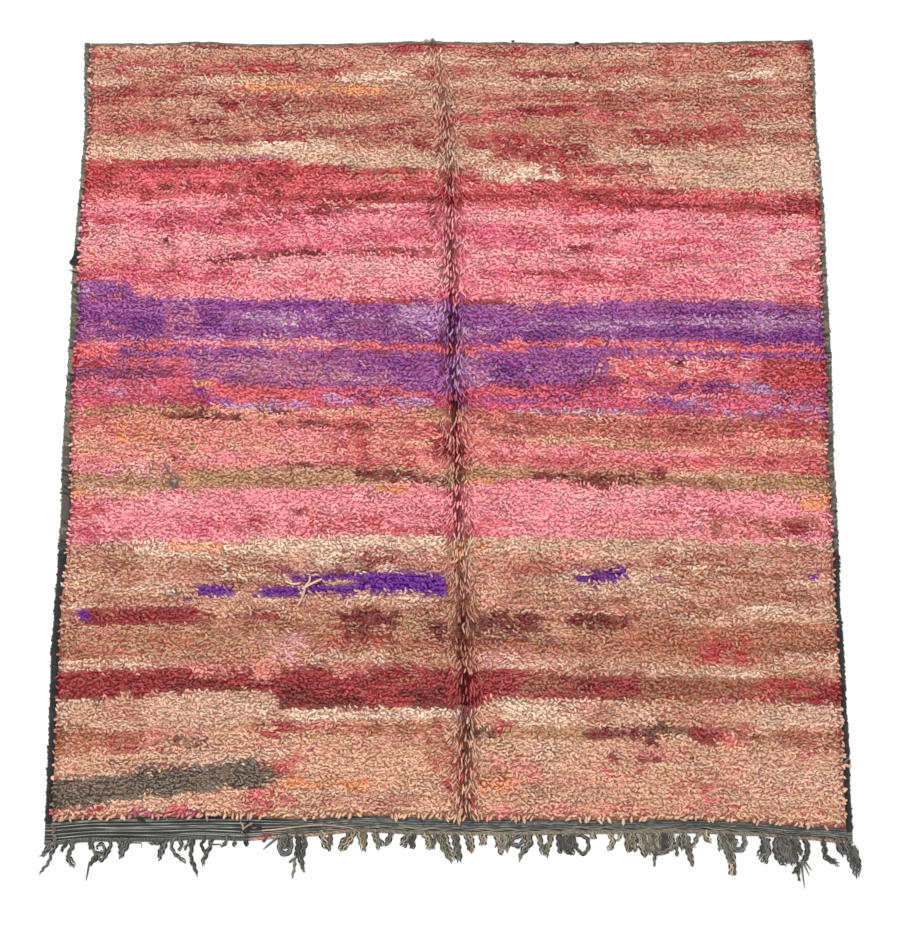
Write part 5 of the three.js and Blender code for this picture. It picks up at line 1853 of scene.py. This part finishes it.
# The strands of a rope lie side by side in two layers. Where it frays they spread and stop at
# their own lengths.
def ropeTubes(rope, rng):
    places = np.array([photoPlace(*place, fringe["height"]) for place in rope["course"]])
    half = np.array(rope["half"]) * fringe["millimetresPerPixel"]
    course = smoothCourse(places, half, fringe["step"])
    dye = linearDyes[ropeDyes[rope["dye"]]] * ranged(fringe["ropeTone"], rng.random())
    fray = rope["fray"]
    strands = [(0.0, 0.0)]
    if fray > 0:
        wide = max(2, int(2 * half.mean() / fringe["strandPitch"]))
        strands = [(2 * (n + 0.5) / wide - 1, 0.0) for n in range(wide)]
        strands += [(2 * (n + 1) / wide - 1, fringe["layer"]) for n in range(wide - 1)]
    tubes = []
    for aside, lift in strands:
        share = 1 - fringe["shorter"] * min(1, fray) * rng.random()
        part = course[:max(5, int(len(course) * share))]
        t = np.linspace(0, 1, len(part))
        ahead = headings(part[:, :2])
        run = runAlong(part[:, :2])
        if fray > 0:
            radius = fringe["strandRadius"] * ranged(fringe["strandSwell"], rng.random())
            radius = np.full(len(part), radius)
            wave = np.sin(run * ranged(fringe["waveTurn"], rng.random()) + rng.random() * 6)
            offset = aside * np.maximum(part[:, 2] - radius, 0)
            offset = offset * (1 + fringe["spread"] * fray * smooth(0.5, 1, t))
            offset = offset + fringe["wave"] * wave * min(1, 0.4 + fray)
            heave = 1 + np.sin(run * 0.3 + rng.random() * 6)
            z = radius + plan["gap"] + lift + fringe["lift"] * heave
        else:
            radius = np.maximum(part[:, 2], fringe["thinnest"])
            offset = 0 * run
            z = radius + plan["gap"]
        x = part[:, 0] - ahead[:, 1] * offset
        y = part[:, 1] + ahead[:, 0] * offset
        radius = radius * (1 - fringe["taper"] * smooth(0.8, 1, t))
        points, faces = yarnTube(np.stack([x, y, z], 1), radius, fringe["sides"])
        tone = ranged(fringe["strandTone"], rng.random())
        tone = tone * ranged(fringe["fleckTone"], drift(x, y, *fringe["fleckNoise"]))
        # The lower layer of a frayed rope is painted darker, as the shade under the upper strands
        if fray > 0 and not lift:
            tone = tone * fringe["lowerLayerShade"]
        tubes.append((points, faces, dye * np.repeat(tone, fringe["sides"])[:, None]))
    return tubes


def tasselTubes():
    rng = np.random.default_rng(fringe["seed"])
    return [tube for rope in ropes for tube in ropeTubes(rope, rng)]


# Loose yarns that lie on the rug: like the ropes, with the height of their middle over the floor
looseYarnRows = table(("course", "half", "dye", "height"), [
    (((163.5, 463.5), (167, 469), (171, 473.5), (174.5, 477.5)),
     (1.1, 0.9, 0.9, 0.8), "fringeDark", 24),
    (((170, 479), (172, 484), (176, 486.5), (178, 483), (177, 479)),
     (0.8, 0.9, 0.9, 0.8, 0.7), "fringeDark", 24),
    (((179.5, 477.5), (176, 482), (172.5, 487.5)), (0.8, 0.8, 0.7), "ash", 25),
    (((171, 478), (169.5, 483), (173, 488.5)), (0.7, 0.8, 0.6), "fringeDark", 25),
    (((310, 576), (309.5, 581), (305.5, 586), (304, 592), (301.5, 599), (297.5, 606)),
     (1.3, 1.2, 1.3, 1.3, 1.2, 1), "sand", 25),
    (((302, 589), (309, 585), (315, 582), (322, 579)), (1.2, 1.3, 1.2, 1), "cream", 25),
    (((285, 581), (293, 584), (300, 583)), (1.1, 1.2, 1), "cream", 24),
    (((68.5, 270.3), (74, 270), (80, 270.2)), (0.7, 0.8, 0.8), "fringeBeige", 10.5),
    (((77, 251), (73, 259), (71, 262.5), (75, 264.5)), (1.3, 1.6, 2.2, 1.6), "soot", 8),
    (((843, 766), (846, 765), (850, 767)), (1.7, 1.9, 1.2), "sand", 10),
    (((844, 763), (847, 760), (849, 758.5)), (1, 1, 0.7), "ash", 10),
    (((423, 43.5), (426, 40.5), (429.5, 42.5)), (1.5, 1.9, 1.4), "fringeBeige", 8),
    (((430.5, 43), (432.5, 39.5), (435, 42.5)), (1.3, 1.9, 1.1), "goatGrey", 8),
    (((511.5, 41.5), (514.5, 41)), (1.3, 1.1), "soot", 9),
    (((574.5, 43), (577, 42.5), (579.5, 43.5)), (1.0, 1.2, 0.9), "soot", 9),
    (((138, 818), (142, 820), (144, 822.5)), (2.6, 2.9, 1.8), "soot", 7),
    (((166.5, 818), (167.5, 820)), (0.9, 0.8), "bandLight", 9),
    (((240, 822), (243, 826), (242, 833)), (1.1, 1.2, 0.9), "fringeBeige", 9),
    (((245, 821), (249, 826), (246, 832)), (1.3, 1.3, 1), "soot", 9),
    (((250, 822), (253, 828), (258, 826)), (1.1, 1.3, 1), "umber", 9),
    (((247, 829), (254, 826), (262, 828)), (1.2, 1.2, 0.9), "soot", 10),
    (((240, 829), (246, 833), (250, 829)), (1.2, 1.3, 1), "goatBlack", 9),
    (((253, 823), (247, 826), (243, 830)), (0.8, 0.8, 0.7), "bandLight", 11),
    (((51.5, 826), (55, 830), (52, 834)), (1.5, 1.6, 1.3), "umber", 9),
    (((52, 834), (56, 838), (53.5, 841)), (1.4, 1.5, 1.2), "goatGrey", 8),
    (((262, 830.5), (280, 829), (300, 826.5), (322, 825), (345, 827), (356, 829.5)),
     (0.9, 0.8, 0.55, 0.5, 0.5, 0.5), "sand", 6.5),
])


def looseTubes():
    tubes = []
    for yarn in looseYarnRows:
        places = np.array([photoPlace(*place, yarn["height"]) for place in yarn["course"]])
        half = np.array(yarn["half"]) * fringe["millimetresPerPixel"]
        course = smoothCourse(places, half, fringe["step"])
        height = np.full(len(course), float(yarn["height"]))
        points, faces = yarnTube(np.column_stack([course[:, :2], height]), course[:, 2], 5)
        tubes.append((points, faces, linearDyes[yarn["dye"]]))
    return tubes


fringeLook = {
    "roughness": 0.9,
    "specular": 0.15,
    "sheen": 0.25,
    "fibreScale": 600,
    "fibreTone": 0.28,
    "bump": 0.8,
}


def twinedCordTubes():
    left, right = (outerEdge(side, fringe["cordY"]) - 2 * side for side in (-1, 1))
    x = np.linspace(left, right, fringe["cordSteps"])
    y = nearBand(x) - plan["gap"] - plan["twineWidth"] / 2
    line = np.stack([x, y, np.full(len(x), fringe["cordHeight"])], 1)
    return twined(line, fringe["cordRadius"], fringe["cordSwing"], fringe["cordPitch"],
                  fringe["cordSides"], cordTone, fringe["cordFlat"])


fringeYarn = woolMaterial("fringeYarn", fringeLook)
twineCord = addObject("twined_cord", joinTubes("twined_cord", twinedCordTubes()))
twineCord.data.materials.append(fringeYarn)
tasselPiece = addObject("tassels", joinTubes("tassels", tasselTubes()))
tasselPiece.data.materials.append(fringeYarn)
looseYarns = addObject("loose_yarns", joinTubes("loose_yarns", looseTubes()))
looseYarns.data.materials.append(fringeYarn)
print("fringe knotted")

# Who carries what

for piece in (groundWeave, *pilePieces):
    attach(piece, "root")
    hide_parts("pile_field")
for label, pieces in cordPieces.items():
    for piece in pieces:
        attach(piece, "root")
        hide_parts(f"side_cord_{label}")
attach(topEdging, "root")
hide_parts("top_edging")
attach(wovenBand, "root")
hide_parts("end_band")
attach(looseYarns, "root")
for piece in (twineCord, tasselPiece):
    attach(piece, "root")
    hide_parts("fringe")

# Floor, light and camera

stage = {
    "floorSize": 12.0,
    "floorColour": (0.86, 0.86, 0.86),
    "floorRoughness": 0.9,
    "floorSpecular": 0.1,
    "skyStrength": 0.68,
    "keyPower": 135,
    "keySize": 2.6,
    "keyAt": (-0.9, 0.7, 4.2),
    "fillPower": 40,
    "fillSize": 3.0,
    "fillAt": (1.8, -1.2, 3.8),
}


def floorPiece():
    half = stage["floorSize"] / 2
    corners = [(-half, -half, 0), (half, -half, 0), (half, half, 0), (-half, half, 0)]
    floor = addObject("floor", meshFrom("floor", corners, [(0, 1, 2, 3)]))
    material = bpy.data.materials.new("floorPaint")
    material.use_nodes = True
    skin = material.node_tree.nodes["Principled BSDF"]
    skin.inputs["Base Color"].default_value = (*stage["floorColour"], 1)
    skin.inputs["Roughness"].default_value = stage["floorRoughness"]
    skin.inputs["Specular IOR Level"].default_value = stage["floorSpecular"]
    floor.data.materials.append(material)


def addLight(name, power, size, at):
    light = bpy.data.lights.new(name, "AREA")
    light.energy = power
    light.shape = "SQUARE"
    light.size = size
    lamp = bpy.data.objects.new(name, light)
    bpy.context.scene.collection.objects.link(lamp)
    lamp.location = at
    lamp.rotation_euler = (-Vector(at)).to_track_quat("-Z", "Y").to_euler()


def addCamera():
    lens = bpy.data.cameras.new("camera")
    lens.sensor_width = view["sensor"]
    lens.lens = view["focalPixels"] * view["sensor"] / max(view["imageSize"])
    lens.clip_end = view["farthest"]
    camera = bpy.data.objects.new("camera", lens)
    bpy.context.scene.collection.objects.link(camera)
    camera.location = placed(cameraPlace())
    camera.rotation_euler = cameraTurn().to_euler()
    bpy.context.scene.camera = camera


floorPiece()
addLight("key", stage["keyPower"], stage["keySize"], stage["keyAt"])
addLight("fill", stage["fillPower"], stage["fillSize"], stage["fillAt"])
addCamera()
world = bpy.data.worlds.new("studio")
world.use_nodes = True
sky = world.node_tree.nodes["Background"]
sky.inputs["Color"].default_value = (1, 1, 1, 1)
sky.inputs["Strength"].default_value = stage["skyStrength"]
bpy.context.scene.world = world
bpy.context.scene.view_settings.view_transform = "Standard"
print("stage set")
